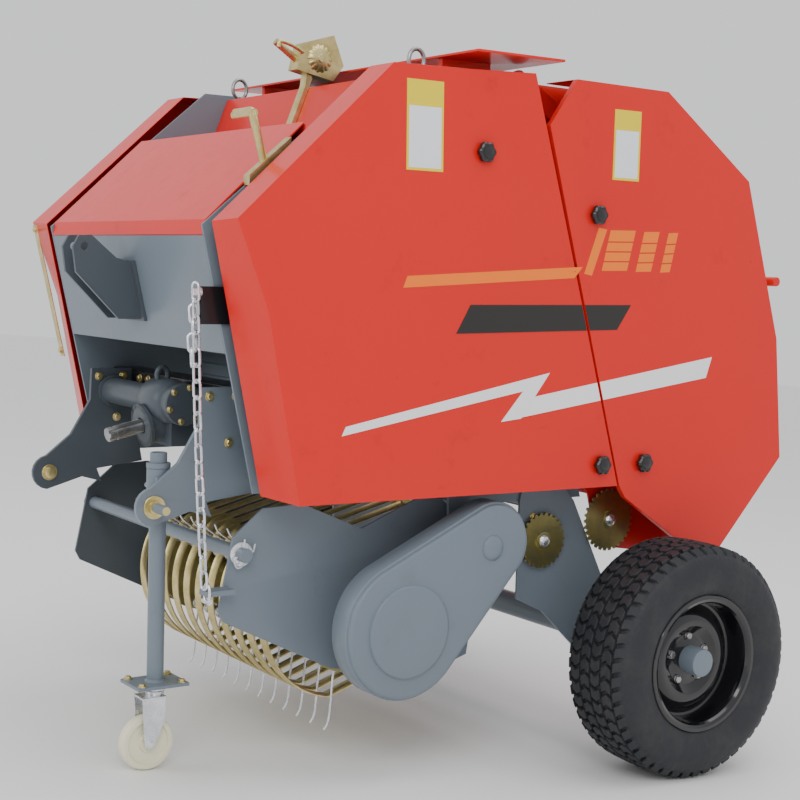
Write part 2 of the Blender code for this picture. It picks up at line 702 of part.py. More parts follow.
# ---- wheels -------------------------------------------------------------------------------------
# columns: distance from the tyre's centre plane, radius
TYRE_SECTION = (
    (0.0865, 0.1515), (0.0890, 0.166), (0.0985, 0.180), (0.106, 0.212), (0.104, 0.242),
    (0.092, 0.266), (0.060, 0.2785), (0.000, TYRE_R),
)
# columns: distance outboard of the tyre's centre plane, radius; from the hub cap round to the bore
RIM_SECTION = (
    (0.088, 0), (0.088, 0.034), (0.036, 0.034), (0.032, 0.060), (0.046, 0.082), (0.046, 0.108),
    (0.030, 0.128), (0.034, 0.142), (0.088, 0.145), (0.094, 0.150), (0.094, 0.166), (0.090, 0.166),
    (0.0872, 0.1505), (-0.0872, 0.1505), (-0.090, 0.166), (-0.094, 0.166), (-0.094, 0.150),
    (-0.088, 0.145), (0.020, 0.142), (0.038, 0.108), (0.038, 0.082), (0.024, 0.056),
    (-0.045, 0.040), (-0.045, STUB_R + 0.0008), (0.0632, STUB_R + 0.0008), (0.0632, 0),
)


def wheels():
    section = list(TYRE_SECTION) + [(-along, radius) for along, radius in reversed(TYRE_SECTION[:-1])]
    for name, side in SIDES:
        hub = (side * TYRE_X, *AXLE)
        axis(f"wheel_axis_{name}", hub, "chassis")
        add(f"tyre_{name}", lathe(hub, (side, 0, 0), section, 36), "tyre_rubber", f"wheel_axis_{name}")
        add(f"rim_{name}", lathe(hub, (side, 0, 0), RIM_SECTION, 24), "rim_black", f"wheel_axis_{name}")


# ---- assembly -----------------------------------------------------------------------------------
def lean_and_settle():
    """Lean the machine on its axle and put the middle of its footprint on the origin."""
    root = bpy.data.objects["chassis"]
    root.rotation_euler = (NOSE_DOWN, 0, 0)
    bpy.context.view_layer.update()
    corners = []
    for piece in bpy.data.objects:
        if piece.type == "MESH":
            corners += [piece.matrix_world @ vertex.co for vertex in piece.data.vertices]
    low = [min(corner[index] for corner in corners) for index in range(3)]
    high = [max(corner[index] for corner in corners) for index in range(3)]
    root.location = (-(low[0] + high[0]) / 2, -(low[1] + high[1]) / 2, -low[2])


def main():
    clear_scene()
    axis("chassis", (0, 0, 0))
    axis("gate_axis", (0, *PIVOT), "chassis")
    axis("pickup_axis", (0, *PICKUP_PIVOT), "chassis")
    side_plates()
    front_beam()
    top_link_clevis()
    lower_cross_beam()
    hitch_plates()
    twine_box()
    gearbox()
    bridge_plate()
    axle_beam()
    pickup_hangers()
    fittings()
    front_covers()
    gate_covers()
    gate_sides()
    gate_beams()
    rollers()
    sprocket("drive_sprocket", (0.937, 0.542), 0.070, "chassis")
    sprocket("gate_sprocket", (1.150, 0.580), 0.080, "gate_axis")
    pickup_sides()
    pickup_bands()
    guard_bar()
    chain_case()
    pickup_reel()
    lift_chain()
    jack()
    wheels()
    lean_and_settle()


main()
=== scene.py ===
"""The finish of a small round baler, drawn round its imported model.

Shapes are worked out in the machine's own level frame, in metres: +X is its left side, the front is at
-Y, Y = 0 is the front top corner of the side plates and Z = 0 is the foot of the tyres.  lean() then
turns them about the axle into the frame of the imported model, which stands nose-down on its jack.
"""
import json
import math

import bmesh
import bpy
import numpy as np
from bpy.props import FloatProperty, FloatVectorProperty, IntProperty, PointerProperty
from mathutils import Matrix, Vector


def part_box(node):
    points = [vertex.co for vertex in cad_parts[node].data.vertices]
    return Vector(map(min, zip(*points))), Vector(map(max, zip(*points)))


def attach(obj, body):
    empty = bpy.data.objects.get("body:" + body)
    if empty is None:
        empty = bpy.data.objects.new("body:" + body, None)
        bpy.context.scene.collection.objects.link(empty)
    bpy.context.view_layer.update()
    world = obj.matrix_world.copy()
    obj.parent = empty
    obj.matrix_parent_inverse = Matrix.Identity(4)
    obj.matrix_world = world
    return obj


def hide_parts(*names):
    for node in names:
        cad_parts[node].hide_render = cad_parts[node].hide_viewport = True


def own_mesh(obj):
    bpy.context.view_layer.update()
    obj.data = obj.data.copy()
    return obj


bl_info = {
    "name": "Round Baler Finish",
    "version": (1, 0, 0),
    "blender": (4, 5, 0),
    "location": "View3D > Sidebar > Baler",
    "description": "Sheet metal, tyres, chain, pickup and paint of a small round baler",
    "category": "Object",
}

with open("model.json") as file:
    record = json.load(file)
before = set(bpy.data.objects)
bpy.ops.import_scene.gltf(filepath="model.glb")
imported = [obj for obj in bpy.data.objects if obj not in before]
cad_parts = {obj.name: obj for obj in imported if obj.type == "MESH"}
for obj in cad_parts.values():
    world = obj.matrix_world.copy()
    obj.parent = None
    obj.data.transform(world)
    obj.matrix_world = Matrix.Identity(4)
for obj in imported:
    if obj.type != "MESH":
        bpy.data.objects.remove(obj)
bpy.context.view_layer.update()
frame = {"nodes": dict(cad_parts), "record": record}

NOSE_DOWN = math.radians(3.2)
AXLE = np.array((0.0, 1.168, 0.283))
TYRE_X = 0.699
SIDES = (("left", 1), ("right", -1))
REEL = (0.430, 0.395)
REEL_BAR_R = 0.120
HITCH_PIN = (-0.045, 0.665)
JACK = (0.268, -0.015)
GUARD_BAR = (0.120, 0.565)
TINE_PITCH = 0.064
TINES_IN_ROW = 12
PTO_BASE = (0, 0.100, 0.8173)
PTO_TILT = math.radians(13)
CROSS_TUBE = (0.122, 0.868)       # Y and Z of the gearbox's cross tube
COVER_IN = 0.4645                 # inner edge of a cover's flanges
COVER_OUT = 0.5795                # outer face of a cover
COVER_SHEET = 0.0022              # wall of a cover, and the round of its folds
SEAM_TOP = (0.802, 1.538)
SEAM_SLOPE = 0.3056               # how far the seam runs back for each metre down
SEAM_HALF_GAP = 0.003
FILM_HALF_GAP = 0.0045            # a film stops this far from the seam
FILM_LIFT = 0.0007
CREASE_Z = 1.100                  # a front cover leans in above this height
UPPER_TILT = 0.036


def axle_in_row():
    """The axle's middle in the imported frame: half way between the two tyres."""
    low, high = np.array(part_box("tyre_left")), np.array(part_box("tyre_right"))
    return (low.mean(axis=0) + high.mean(axis=0)) / 2


AXLE_ROW = axle_in_row()


def turn_matrix():
    """Rotation about +X by the lean."""
    c, s = math.cos(NOSE_DOWN), math.sin(NOSE_DOWN)
    return np.array(((1, 0, 0), (0, c, -s), (0, s, c)))


def lean(points):
    """Level-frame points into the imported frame: turn about the axle, then move onto it."""
    return (np.asarray(points, float) - AXLE) @ turn_matrix().T + AXLE_ROW


def middle_of(node):
    """The middle of a CAD node's box, turned back into the level frame."""
    return (np.array(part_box(node)).mean(axis=0) - AXLE_ROW) @ turn_matrix() + AXLE


# ---- sizes and colours a user may change ---------------------------------------------------------
class BalerSizes(bpy.types.PropertyGroup):
    tread_blocks: IntProperty(name="Tread blocks", description="Blocks in one row of tread", default=50)
    tread_depth: FloatProperty(name="Tread depth", description="Height of a tread block", default=0.009,
                               unit="LENGTH")
    knob_radius: FloatProperty(name="Knob radius", description="Radius of a cover knob", default=0.023,
                               unit="LENGTH")
    link_pitch: FloatProperty(name="Link pitch", description="Inside length of a chain link",
                              default=0.034, unit="LENGTH")
    link_wire: FloatProperty(name="Link wire", description="Wire radius of a chain link",
                             default=0.0030, unit="LENGTH")
    tine_wire: FloatProperty(name="Tine wire", description="Wire radius of a pickup tine",
                             default=0.0026, unit="LENGTH")


class BalerColours(bpy.types.PropertyGroup):
    red: FloatVectorProperty(name="Red", description="Body enamel", subtype="COLOR",
                             default=(0.70, 0.018, 0.012))
    grey: FloatVectorProperty(name="Grey", description="Blue-grey enamel", subtype="COLOR",
                              default=(0.165, 0.200, 0.235))
    orange: FloatVectorProperty(name="Orange", description="Long stripe", subtype="COLOR",
                                default=(0.95, 0.19, 0.0))
    rubber: FloatVectorProperty(name="Rubber", description="Tyre rubber", subtype="COLOR",
                                default=(0.018, 0.020, 0.024))


def sizes():
    return bpy.context.scene.baler_sizes


def colours():
    return bpy.context.scene.baler_colours


# ---- shader maths --------------------------------------------------------------------------------
class Value:
    """A node output that takes part in sums."""

    def __init__(self, sheet, socket):
        self.sheet = sheet
        self.socket = socket

    def _maths(self, operation, first, second):
        return self.sheet.node("ShaderNodeMath", {"operation": operation}, {0: first, 1: second})

    def __add__(self, other):
        return self._maths("ADD", self, other)

    __radd__ = __add__

    def __mul__(self, other):
        return self._maths("MULTIPLY", self, other)

    __rmul__ = __mul__


class Finish:
    """One material's node sheet, with its Principled shader."""

    def __init__(self, name, colour, roughness, metallic=0.0, coat=0.0, shine=0.4):
        self.material = bpy.data.materials.new(name)
        self.material.use_nodes = True
        self.tree = self.material.node_tree
        self.shader = self.tree.nodes["Principled BSDF"]
        self.colour = tuple(colour) + (1,)
        self.set("Base Color", self.colour)
        self.set("Roughness", roughness)
        self.set("Metallic", metallic)
        self.set("Coat Weight", coat)
        self.set("Coat Roughness", 0.08)
        self.set("Specular IOR Level", shine)

    def set(self, name, value):
        if isinstance(value, Value):
            self.tree.links.new(value.socket, self.shader.inputs[name])
        else:
            self.shader.inputs[name].default_value = value

    def node(self, kind, settings, inputs, output=0):
        made = self.tree.nodes.new(kind)
        for key, value in settings.items():
            setattr(made, key, value)
        for key, value in inputs.items():
            if isinstance(value, Value):
                self.tree.links.new(value.socket, made.inputs[key])
            else:
                made.inputs[key].default_value = value
        return Value(self, made.outputs[output])

    def place(self):
        return self.node("ShaderNodeTexCoord", {}, {}, "Object")

    def noise(self, scale, detail=3.0, rough=0.55):
        inputs = {"Vector": self.place(), "Scale": scale, "Detail": detail, "Roughness": rough}
        return self.node("ShaderNodeTexNoise", {}, inputs)

    def band(self, value, low, high):
        """0 below low, 1 above high, and even between."""
        inputs = {"Value": value, "From Min": low, "From Max": high}
        return self.node("ShaderNodeMapRange", {"clamp": True}, inputs)

    def mix(self, factor, first, second):
        inputs = {0: factor, 6: first, 7: second}
        return self.node("ShaderNodeMix", {"data_type": "RGBA"}, inputs, 2)

    def bump(self, height, strength, distance=0.001):
        inputs = {"Height": height, "Strength": strength, "Distance": distance}
        self.set("Normal", self.node("ShaderNodeBump", {}, inputs))

    def shade(self, factor, amount):
        """Darken the colour toward a share of itself where factor is 1."""
        dark = tuple(c * amount for c in self.colour[:3]) + (1,)
        return self.mix(factor, self.colour, dark)


def enamel(name, colour, roughness=0.30, coat=0.12, grime=0.55):
    """Sprayed paint: orange-peel bump, faint clouding, grime that gathers in soft patches."""
    made = Finish(name, colour, roughness, coat=coat, shine=0.25)
    cloud = made.band(made.noise(2.2, 4), 0.35, 0.75)
    dirt = made.band(made.noise(9.0, 6, 0.7), 0.60, 0.78) * 0.35
    grimy = tuple(c * grime for c in colour) + (1,)
    made.set("Base Color", made.mix(dirt, made.shade(cloud * 0.30, 0.86), grimy))
    made.set("Roughness", made.noise(30.0, 4) * 0.10 + (roughness - 0.05) + dirt * 0.2)
    made.bump(made.noise(420.0, 2) + made.noise(60.0, 2) * 0.7, 0.10, 0.0004)
    return made.material


def plating(name, bright, tarnish, roughness=0.34):
    """Zinc plate: spangled tone, blotches of colour and fine draw lines."""
    made = Finish(name, bright, roughness, metallic=0.9)
    blotch = made.band(made.noise(26.0, 5, 0.7), 0.38, 0.66)
    made.set("Base Color", made.mix(blotch, (*bright, 1), (*tarnish, 1)))
    made.set("Roughness", made.noise(120.0, 4) * 0.25 + (roughness - 0.12))
    made.bump(made.noise(600.0, 2), 0.15, 0.0003)
    return made.material


def rubber(name, colour, roughness=0.62):
    """Tyre rubber: dusty on the high ground, fine grain."""
    made = Finish(name, colour, roughness)
    dust = made.band(made.noise(14.0, 6, 0.7), 0.45, 0.75) * 0.30
    made.set("Base Color", made.mix(dust, (*colour, 1), (0.075, 0.070, 0.062, 1)))
    made.set("Roughness", made.noise(50.0, 4) * 0.20 + (roughness - 0.08))
    made.bump(made.noise(900.0, 2) + made.noise(150.0, 3) * 0.5, 0.25, 0.0004)
    return made.material


def plastic(name, colour, roughness=0.38, coat=0.0):
    """Moulded plastic or decal film: very fine grain and a slight unevenness of gloss."""
    made = Finish(name, colour, roughness, coat=coat)
    haze = made.band(made.noise(18.0, 4), 0.4, 0.8) * 0.25
    made.set("Base Color", made.shade(haze, 0.88))
    made.set("Roughness", made.noise(80.0, 3) * 0.12 + (roughness - 0.05))
    made.bump(made.noise(700.0, 2), 0.08, 0.0003)
    return made.material


LOOKS = {}


def make_looks():
    """Every finish, by the name the pieces ask for, with the record's slot it belongs to."""
    red, grey = tuple(colours().red), tuple(colours().grey)
    # A darker copy of the grey: the gearbox and the top link clevis wear it, and on the right hitch plate and right
    # pickup side it is painted shade, since their left twins are plain grey
    dark_grey_and_painted_shade = tuple(c * 0.42 for c in grey)
    table = (
        ("red", enamel("red_enamel", red), "red_paint"),
        ("grey", enamel("blue_grey_enamel", grey, 0.34, 0.10, 0.6), "grey_paint"),
        ("dark_grey_and_painted_shade", enamel("dark_grey_and_painted_shade_enamel", dark_grey_and_painted_shade, 0.38, 0.10, 0.6), "grey_paint"),
        ("black", enamel("black_enamel", (0.010, 0.010, 0.012), 0.30, 0.3), "black_paint"),
        ("rim", enamel("rim_gloss_black", (0.006, 0.006, 0.008), 0.14, 0.8), "rim_black"),
        ("yellow_zinc", plating("yellow_zinc", (0.72, 0.60, 0.30), (0.50, 0.42, 0.16)), "yellow_zinc"),
        ("olive_zinc", plating("olive_zinc", (0.30, 0.28, 0.14), (0.42, 0.36, 0.12)), "yellow_zinc"),
        ("white_zinc", plating("white_zinc", (0.82, 0.83, 0.86), (0.62, 0.64, 0.68), 0.28), "white_zinc"),
        ("steel", plating("machined_steel", (0.42, 0.42, 0.42), (0.22, 0.21, 0.20)), "bare_steel"),
        ("rubber", rubber("tyre_rubber", tuple(colours().rubber)), "tyre_rubber"),
        ("nylon", plastic("cream_nylon", (0.80, 0.76, 0.56), 0.42), "cream_nylon"),
        ("knob", plastic("knob_black", (0.012, 0.012, 0.013), 0.28, 0.3), "black_paint"),
        ("orange", plastic("orange_film", tuple(colours().orange), 0.35, 0.2), "red_paint"),
        ("black_film", plastic("black_film", (0.012, 0.010, 0.008), 0.30, 0.3), "black_paint"),
        ("white_film", plastic("white_film", (0.86, 0.86, 0.88), 0.35, 0.2), "white_zinc"),
        ("label_yellow", plastic("label_yellow", (0.80, 0.62, 0.02), 0.35), "yellow_zinc"),
        ("label_white", plastic("label_white", (0.80, 0.81, 0.84), 0.35), "white_zinc"),
    )
    for name, material, slot in table:
        LOOKS[name] = (material, slot)


# ---- shapes: each is (points, faces) in the level frame ------------------------------------------
def gather(shapes):
    """Several shapes as one, their faces renumbered."""
    points, faces, start = [], [], 0
    for some_points, some_faces in shapes:
        points.append(np.asarray(some_points, float))
        faces += [tuple(index + start for index in face) for face in some_faces]
        start += len(some_points)
    return np.vstack(points), faces


def skin(grid, around=True, along=False, caps=True):
    """Quads over a grid of points [row, column]: closed round the columns, and capped or closed in rows."""
    rows, columns = grid.shape[:2]
    index = np.arange(rows * columns).reshape(rows, columns)
    below = index if along else index[:-1]
    above = np.roll(index, -1, axis=0) if along else index[1:]
    if around:
        pairs = (below, np.roll(below, -1, axis=1), np.roll(above, -1, axis=1), above)
    else:
        pairs = (below[:, :-1], below[:, 1:], above[:, 1:], above[:, :-1])
    faces = [tuple(quad) for quad in np.stack(pairs, axis=-1).reshape(-1, 4).tolist()]
    if caps and around and not along:
        faces.append(tuple(index[0][::-1].tolist()))
        faces.append(tuple(index[-1].tolist()))
    return grid.reshape(-1, 3), faces


def basis(direction):
    """Two directions square to the one given."""
    d = np.asarray(direction, float) / np.linalg.norm(direction)
    helper = np.array((0.0, 0.0, 1.0)) if abs(d[2]) < 0.9 else np.array((0.0, 1.0, 0.0))
    side = np.cross(helper, d)
    side /= np.linalg.norm(side)
    return d, side, np.cross(d, side)


def turned(origin, direction, profile, segments=48, wave=None, hollow=False):
    """Lathe: point = origin + along d + r (cos t side + sin t up), r times wave(t, along) if it is given.

    Both ends are capped, unless hollow joins the last ring to the first.
    """
    d, side, up = basis(direction)
    t = np.linspace(0, 2 * math.pi, segments, endpoint=False)
    along = np.array([row[0] for row in profile])[:, None, None]
    radius = np.array([max(row[1], 1e-5) for row in profile])[:, None]
    radius = radius * (wave(t, along[:, :, 0]) if wave else np.ones_like(t))
    ring = np.cos(t)[:, None] * side + np.sin(t)[:, None] * up
    points, faces = skin(np.asarray(origin, float) + along * d + radius[:, :, None] * ring, caps=not hollow)
    if hollow:
        last = (len(profile) - 1) * segments
        faces += [(last + i, last + (i + 1) % segments, (i + 1) % segments, i) for i in range(segments)]
    return points, faces


def rod(start, end, radius, segments=24, chamfer=0.0008):
    """A round bar with chamfered ends."""
    length = float(np.linalg.norm(np.subtract(end, start)))
    small = radius - chamfer
    profile = ((0, small), (chamfer, radius), (length - chamfer, radius), (length, small))
    return turned(start, np.subtract(end, start), profile, segments)


def tube(path, radius, segments=12, closed=False):
    """A round wire along a path: each ring stands square to the path, its frame carried from the last."""
    path = np.asarray(path, float)
    ahead = np.roll(path, -1, axis=0) - np.roll(path, 1, axis=0)
    if not closed:
        ahead[0], ahead[-1] = path[1] - path[0], path[-1] - path[-2]
    ahead /= np.linalg.norm(ahead, axis=1)[:, None]
    _, side, _ = basis(ahead[0])
    t = np.linspace(0, 2 * math.pi, segments, endpoint=False)
    rings = []
    for point, d in zip(path, ahead):
        side = side - d * side.dot(d)
        side /= np.linalg.norm(side)
        up = np.cross(d, side)
        rings.append(point + radius * (np.cos(t)[:, None] * side + np.sin(t)[:, None] * up))
    return skin(np.array(rings), along=closed, caps=not closed)


def smooth_path(points, count=24):
    """Catmull-Rom curve through the points."""
    p = np.asarray(points, float)
    p = np.vstack((2 * p[0] - p[1], p, 2 * p[-1] - p[-2]))
    out = []
    for a, b, c, d in zip(p, p[1:], p[2:], p[3:]):
        t = np.linspace(0, 1, count, endpoint=False)[:, None]
        out.append(0.5 * (2 * b + (c - a) * t + (2 * a - 5 * b + 4 * c - d) * t**2
                          + (3 * b - a - 3 * c + d) * t**3))
    return np.vstack((*out, p[-2:-1]))


def slab(outline, x0, x1):
    """A YZ outline carried along X."""
    ring = np.array([(0.0, y, z) for y, z in outline])
    return skin(np.array([ring + (x, 0, 0) for x in (x0, x1)]))


def arc(centre, radius, start, end, steps):
    """YZ points along an arc, in degrees from +Y toward +Z."""
    t = np.radians(np.linspace(start, end, steps + 1))
    return np.column_stack((centre[0] + radius * np.cos(t), centre[1] + radius * np.sin(t)))


def hexagon_bolt(centre, direction, across=0.019, height=0.008, washer=0.014):
    """A hexagon head with a domed top on a washer."""
    radius = across / math.sqrt(3)
    block = ((0.0015, radius), (height, radius), (height + 0.0012, radius * 0.80))
    head = turned(centre, direction, block, 6)
    ring = turned(centre, direction, ((0, washer), (0.0018, washer), (0.0022, washer - 0.0006)), 24)
    return gather((head, ring))


def mirrored(shape, side):
    """The shape, or its mirror image for the machine's right."""
    points, faces = shape
    return np.asarray(points) * (side, 1, 1), faces


def piece(name, shape, look, body, replaced=(), bevel=0.0, wall=0.0, sharp=32):
    """Put a shape in the scene, finished and riding on a body."""
    points, faces = shape
    mesh = bpy.data.meshes.new(name)
    mesh.from_pydata(lean(points).tolist(), [], faces)
    bm = bmesh.new()
    bm.from_mesh(mesh)
    bmesh.ops.remove_doubles(bm, verts=bm.verts, dist=0.00002)
    bmesh.ops.recalc_face_normals(bm, faces=bm.faces)
    bm.to_mesh(mesh)
    bm.free()
    return dress(name, mesh, look, body, replaced, bevel, wall, sharp)


def dress(name, mesh, look, body, replaced=(), bevel=0.0, wall=0.0, sharp=32):
    material, slot = LOOKS[look]
    mesh.materials.clear()
    mesh.materials.append(material)
    mesh.shade_smooth()
    mesh.set_sharp_from_angle(angle=math.radians(sharp))
    made = bpy.data.objects.new(name, mesh)
    bpy.context.scene.collection.objects.link(made)
    if wall:
        solid = made.modifiers.new("Wall", "SOLIDIFY")
        solid.thickness = wall
        solid.offset = -1
    if bevel:
        edge = made.modifiers.new("Edges", "BEVEL")
        edge.width = bevel
        edge.segments = 2
        edge.limit_method = "ANGLE"
        edge.angle_limit = math.radians(32)
        edge.harden_normals = True
    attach(made, body)
    if replaced:
        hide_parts(*replaced)
    return made


def body_named(node):
    """The body that carries a CAD node."""
    for name, nodes in frame["record"]["behaviour"]["bodies"].items():
        if node in nodes:
            return name
    raise RuntimeError(f"{node} is on no body")


def softened(node, look, bevel=0.0012):
    """A CAD node's own shape with its flat faces joined up and its edges broken."""
    mesh = frame["nodes"][node].data.copy()
    bm = bmesh.new()
    bm.from_mesh(mesh)
    bmesh.ops.remove_doubles(bm, verts=bm.verts, dist=0.00002)
    bmesh.ops.dissolve_limit(bm, angle_limit=math.radians(1.0), verts=bm.verts, edges=bm.edges)
    bm.to_mesh(mesh)
    bm.free()
    return dress(f"{node}_finished", mesh, look, body_named(node), (node,), bevel)


# ---- covers --------------------------------------------------------------------------------------
def seam_y(z):
    """Y of the seam between the front covers and the tailgate."""
    return SEAM_TOP[0] + (SEAM_TOP[1] - z) * SEAM_SLOPE


def face_x(y, z):
    """X of a front cover's outer face: it leans in above its crease, less so toward the seam."""
    rise = np.minimum(np.asarray(z) - CREASE_Z, 2.98 * (seam_y(np.asarray(z)) - np.asarray(y)))
    return COVER_OUT - UPPER_TILT * np.maximum(rise, 0)


def folded_sheet(outline, flanges, hems, corner_x):
    """The points of a face over an outline, with flanges back to the machine and narrow hems on its open edges; the
    caller adds the face itself.
    """
    count = len(outline)
    outer = [(float(corner_x(y, z)), y, z) for y, z in outline]
    inner = [(COVER_IN, y, z) for y, z in outline]
    tucked = [(x - 0.016, y, z) for x, y, z in outer]
    points = np.array(outer + inner + tucked)
    faces = [(i, (i + 1) % count, count + (i + 1) % count, count + i) for i in flanges]
    faces += [(i, (i + 1) % count, 2 * count + (i + 1) % count, 2 * count + i) for i in hems]
    return points, faces


class BALER_OT_covers(bpy.types.Operator):
    """Fold the four red side covers from sheet"""

    bl_idname = "baler.covers"
    bl_label = "Side covers"

    def execute(self, context):
        ahead_of = {z: seam_y(z) - SEAM_HALF_GAP for z in (0.688, CREASE_Z)}
        front = [(0.008, 1.292), (0.081, CREASE_Z), (0.165, 0.692), (ahead_of[0.688], 0.688)]
        front += [(ahead_of[CREASE_Z], CREASE_Z), (0.761, 1.651), (0.590, 1.6465), (0.386, 1.642)]
        gate = [(seam_y(0.688) + SEAM_HALF_GAP, 0.688), (1.085, 0.658), (1.379, 0.468), (1.625, 0.735)]
        gate += [(1.591, 1.046), (1.462, 1.445), (1.172, 1.645), (0.884, 1.649), (0.808, 1.538)]
        for name, side in SIDES:
            points, faces = folded_sheet(front, (0, 1, 5, 6, 7), (2, 3, 4), face_x)
            inner = len(front)    # the flange's inner edge follows the slanted front of the side plate
            points[inner:inner + 3] = ((COVER_IN, 0.004, 1.287), (COVER_IN, 0.046, CREASE_Z),
                                       (COVER_IN, 0.134, 0.700))
            faces += [(1, 2, 3, 4), (0, 1, 4, 6, 7), (4, 5, 6)]
            shape = mirrored((points, faces), side)
            piece(f"front_cover_{name}_sheet", shape, "red", "frame", (f"front_cover_{name}",),
                  COVER_SHEET, COVER_SHEET)
            points, faces = folded_sheet(gate, (2, 3, 4, 5, 6), (0, 1, 7, 8), lambda y, z: COVER_OUT)
            faces.append(tuple(range(len(gate))))
            shape = mirrored((points, faces), side)
            piece(f"gate_cover_{name}_sheet", shape, "red", "tailgate", (f"gate_cover_{name}",),
                  COVER_SHEET, COVER_SHEET)
        return {"FINISHED"}


def star_knob(y, z, side, face):
    """A six-lobed knob on its stud: r = R (1 + 0.075 cos 6t) behind a domed cap."""
    radius = sizes().knob_radius

    def lobes(t, along):
        return 1 + 0.075 * np.cos(6 * t) * np.ones_like(along)

    skirt = ((0, 0.010), (0.004, 0.011), (0.005, radius * 0.94), (0.010, radius), (0.015, radius * 0.96))
    grip = turned((face, y, z), (1, 0, 0), skirt + ((0.018, radius * 0.80),), 60, lobes)
    dome = ((0.016, 0.015), (0.0195, 0.0135), (0.021, 0.009), (0.0215, 0.001))
    cap = turned((face, y, z), (1, 0, 0), dome, 32)
    stud = rod((0.4285, y, z), (face + 0.004, y, z), 0.0065, 16)
    return mirrored(gather((grip, cap, stud)), side)


class BALER_OT_knobs(bpy.types.Operator):
    """Put the black star knobs on the covers"""

    bl_idname = "baler.knobs"
    bl_label = "Knobs"

    def execute(self, context):
        table = (("frame", 0.630, 1.465), ("frame", 1.000, 0.743),
                 ("tailgate", 0.958, 1.339), ("tailgate", 1.136, 0.742))
        for name, side in SIDES:
            for number, (body, y, z) in enumerate(table, 1):
                face = float(face_x(y, z)) if body == "frame" else COVER_OUT
                piece(f"knob_{name}_{number}", star_knob(y, z, side, face), "knob", body)
        return {"FINISHED"}


def film(corners, side, lift=FILM_LIFT, columns=24):
    """A thin film over a four-cornered patch: corners blended two ways and laid on the cover's face."""
    a, b, c, d = (np.array(corner, float) for corner in corners)
    u = np.linspace(0, 1, columns + 1)[:, None, None]
    v = np.linspace(0, 1, 5)[None, :, None]
    flat = (1 - u) * (1 - v) * a + u * (1 - v) * b + u * v * c + (1 - u) * v * d
    x = face_x(flat[:, :, 0], flat[:, :, 1])
    top = np.dstack((x + lift, flat))
    low = np.dstack((x + 0.0001, flat))
    grid = np.concatenate((top, low[:, ::-1]), axis=1)
    return mirrored(skin(grid), side)


def split(corners):
    """Cut a long patch at the seam: the part ahead of it and the part on the tailgate."""
    a, b, c, d = (np.array(corner, float) for corner in corners)

    def cut(p, q, offset):
        """The point of p-q that lies on the seam, moved along by offset."""
        low, high = p[0] - seam_y(p[1]), q[0] - seam_y(q[1])
        share = (offset - low) / (high - low)
        return p + (q - p) * share

    front = (a, cut(a, b, -FILM_HALF_GAP), cut(d, c, -FILM_HALF_GAP), d)
    gate = (cut(a, b, FILM_HALF_GAP), b, c, cut(d, c, FILM_HALF_GAP))
    return front, gate


class BALER_OT_stripes(bpy.types.Operator):
    """Lay the orange, black and white films on the covers"""

    bl_idname = "baler.stripes"
    bl_label = "Stripes"

    def execute(self, context):
        long_run = ((0.414, 1.158), (0.897, 1.189), (0.921, 1.216), (0.425, 1.184))
        black = ((0.559, 1.058), (1.036, 1.068), (1.078, 1.128), (0.597, 1.123))
        lower = ((0.700, 0.857), (1.340, 0.948), (1.358, 1.000), (0.745, 0.905))
        black_front, black_gate = split(black)
        white_front, white_gate = split(lower)
        run_front, run_gate = long_run, ((0.9175, 1.188), (0.935, 1.190), (0.958, 1.218), (0.9105, 1.214))
        riser = ((0.926, 1.200), (0.950, 1.196), (0.992, 1.306), (0.966, 1.310))
        upper = ((0.265, 0.838), (0.760, 0.926), (0.833, 0.967), (0.275, 0.858))
        elbow = ((0.694, 0.856), (0.752, 0.862), (0.833, 0.967), (0.772, 0.944))
        bars = []
        for start, width in ((1.000, 0.080), (1.108, 0.050), (1.188, 0.032)):
            for row in range(4):
                low = 1.208 + row * 0.0235
                height = 0.0205 + 0.006 * (row == 3)
                lean_by = 0.24
                left = start - 0.020 + (low - 1.208) * lean_by
                bars.append(((left, low), (left + width, low + 0.002), (left + width + height * lean_by,
                             low + height + 0.002), (left + height * lean_by, low + height)))
        for name, side in SIDES:
            table = (
                ("stripe_orange_front", "orange", "frame", (run_front,)),
                ("stripe_orange_gate", "orange", "tailgate", (riser, *bars)),
                ("stripe_black_front", "black_film", "frame", (black_front,)),
                ("stripe_black_gate", "black_film", "tailgate", (black_gate,)),
                ("zigzag_white_front", "white_film", "frame", (upper, white_front)),
                ("zigzag_white_gate", "white_film", "tailgate", (white_gate,)),
                ("zigzag_white_elbow", "white_film", "frame", (elbow,)),
            )
            for number, (stem, look, body, patches) in enumerate(table):
                lift = FILM_LIFT + 0.0002 * (stem == "zigzag_white_elbow")
                piece(f"{stem}_{name}", gather([film(p, side, lift) for p in patches]), look, body)
        return {"FINISHED"}


class BALER_OT_labels(bpy.types.Operator):
    """Stick the blank label plates on the covers"""

    bl_idname = "baler.labels"
    bl_label = "Labels"

    def execute(self, context):
        table = (("frame", (0.419, 1.611), (0.517, 1.414)), ("tailgate", (1.002, 1.590), (1.086, 1.424)))
        for name, side in SIDES:
            for body, (y0, z1), (y1, z0) in table:
                plate = ((y0, z0), (y1, z0), (y1, z1), (y0, z1))
                rim = 0.006
                band = z1 - (z1 - z0) * 0.29
                panel = ((y0 + rim, z0 + rim), (y1 - rim, z0 + rim), (y1 - rim, band), (y0 + rim, band))
                piece(f"label_{body}_{name}", film(plate, side, 0.0009, 6), "label_yellow", body)
                piece(f"label_panel_{body}_{name}", film(panel, side, 0.0013, 6), "label_white", body)
        return {"FINISHED"}


# ---- wheels --------------------------------------------------------------------------------------
def crown(t):
    """Tread radius at a distance from the tyre's centre plane."""
    return 0.2825 - 0.55 * t**2 - 60.0 * np.maximum(np.abs(t) - 0.075, 0) ** 2


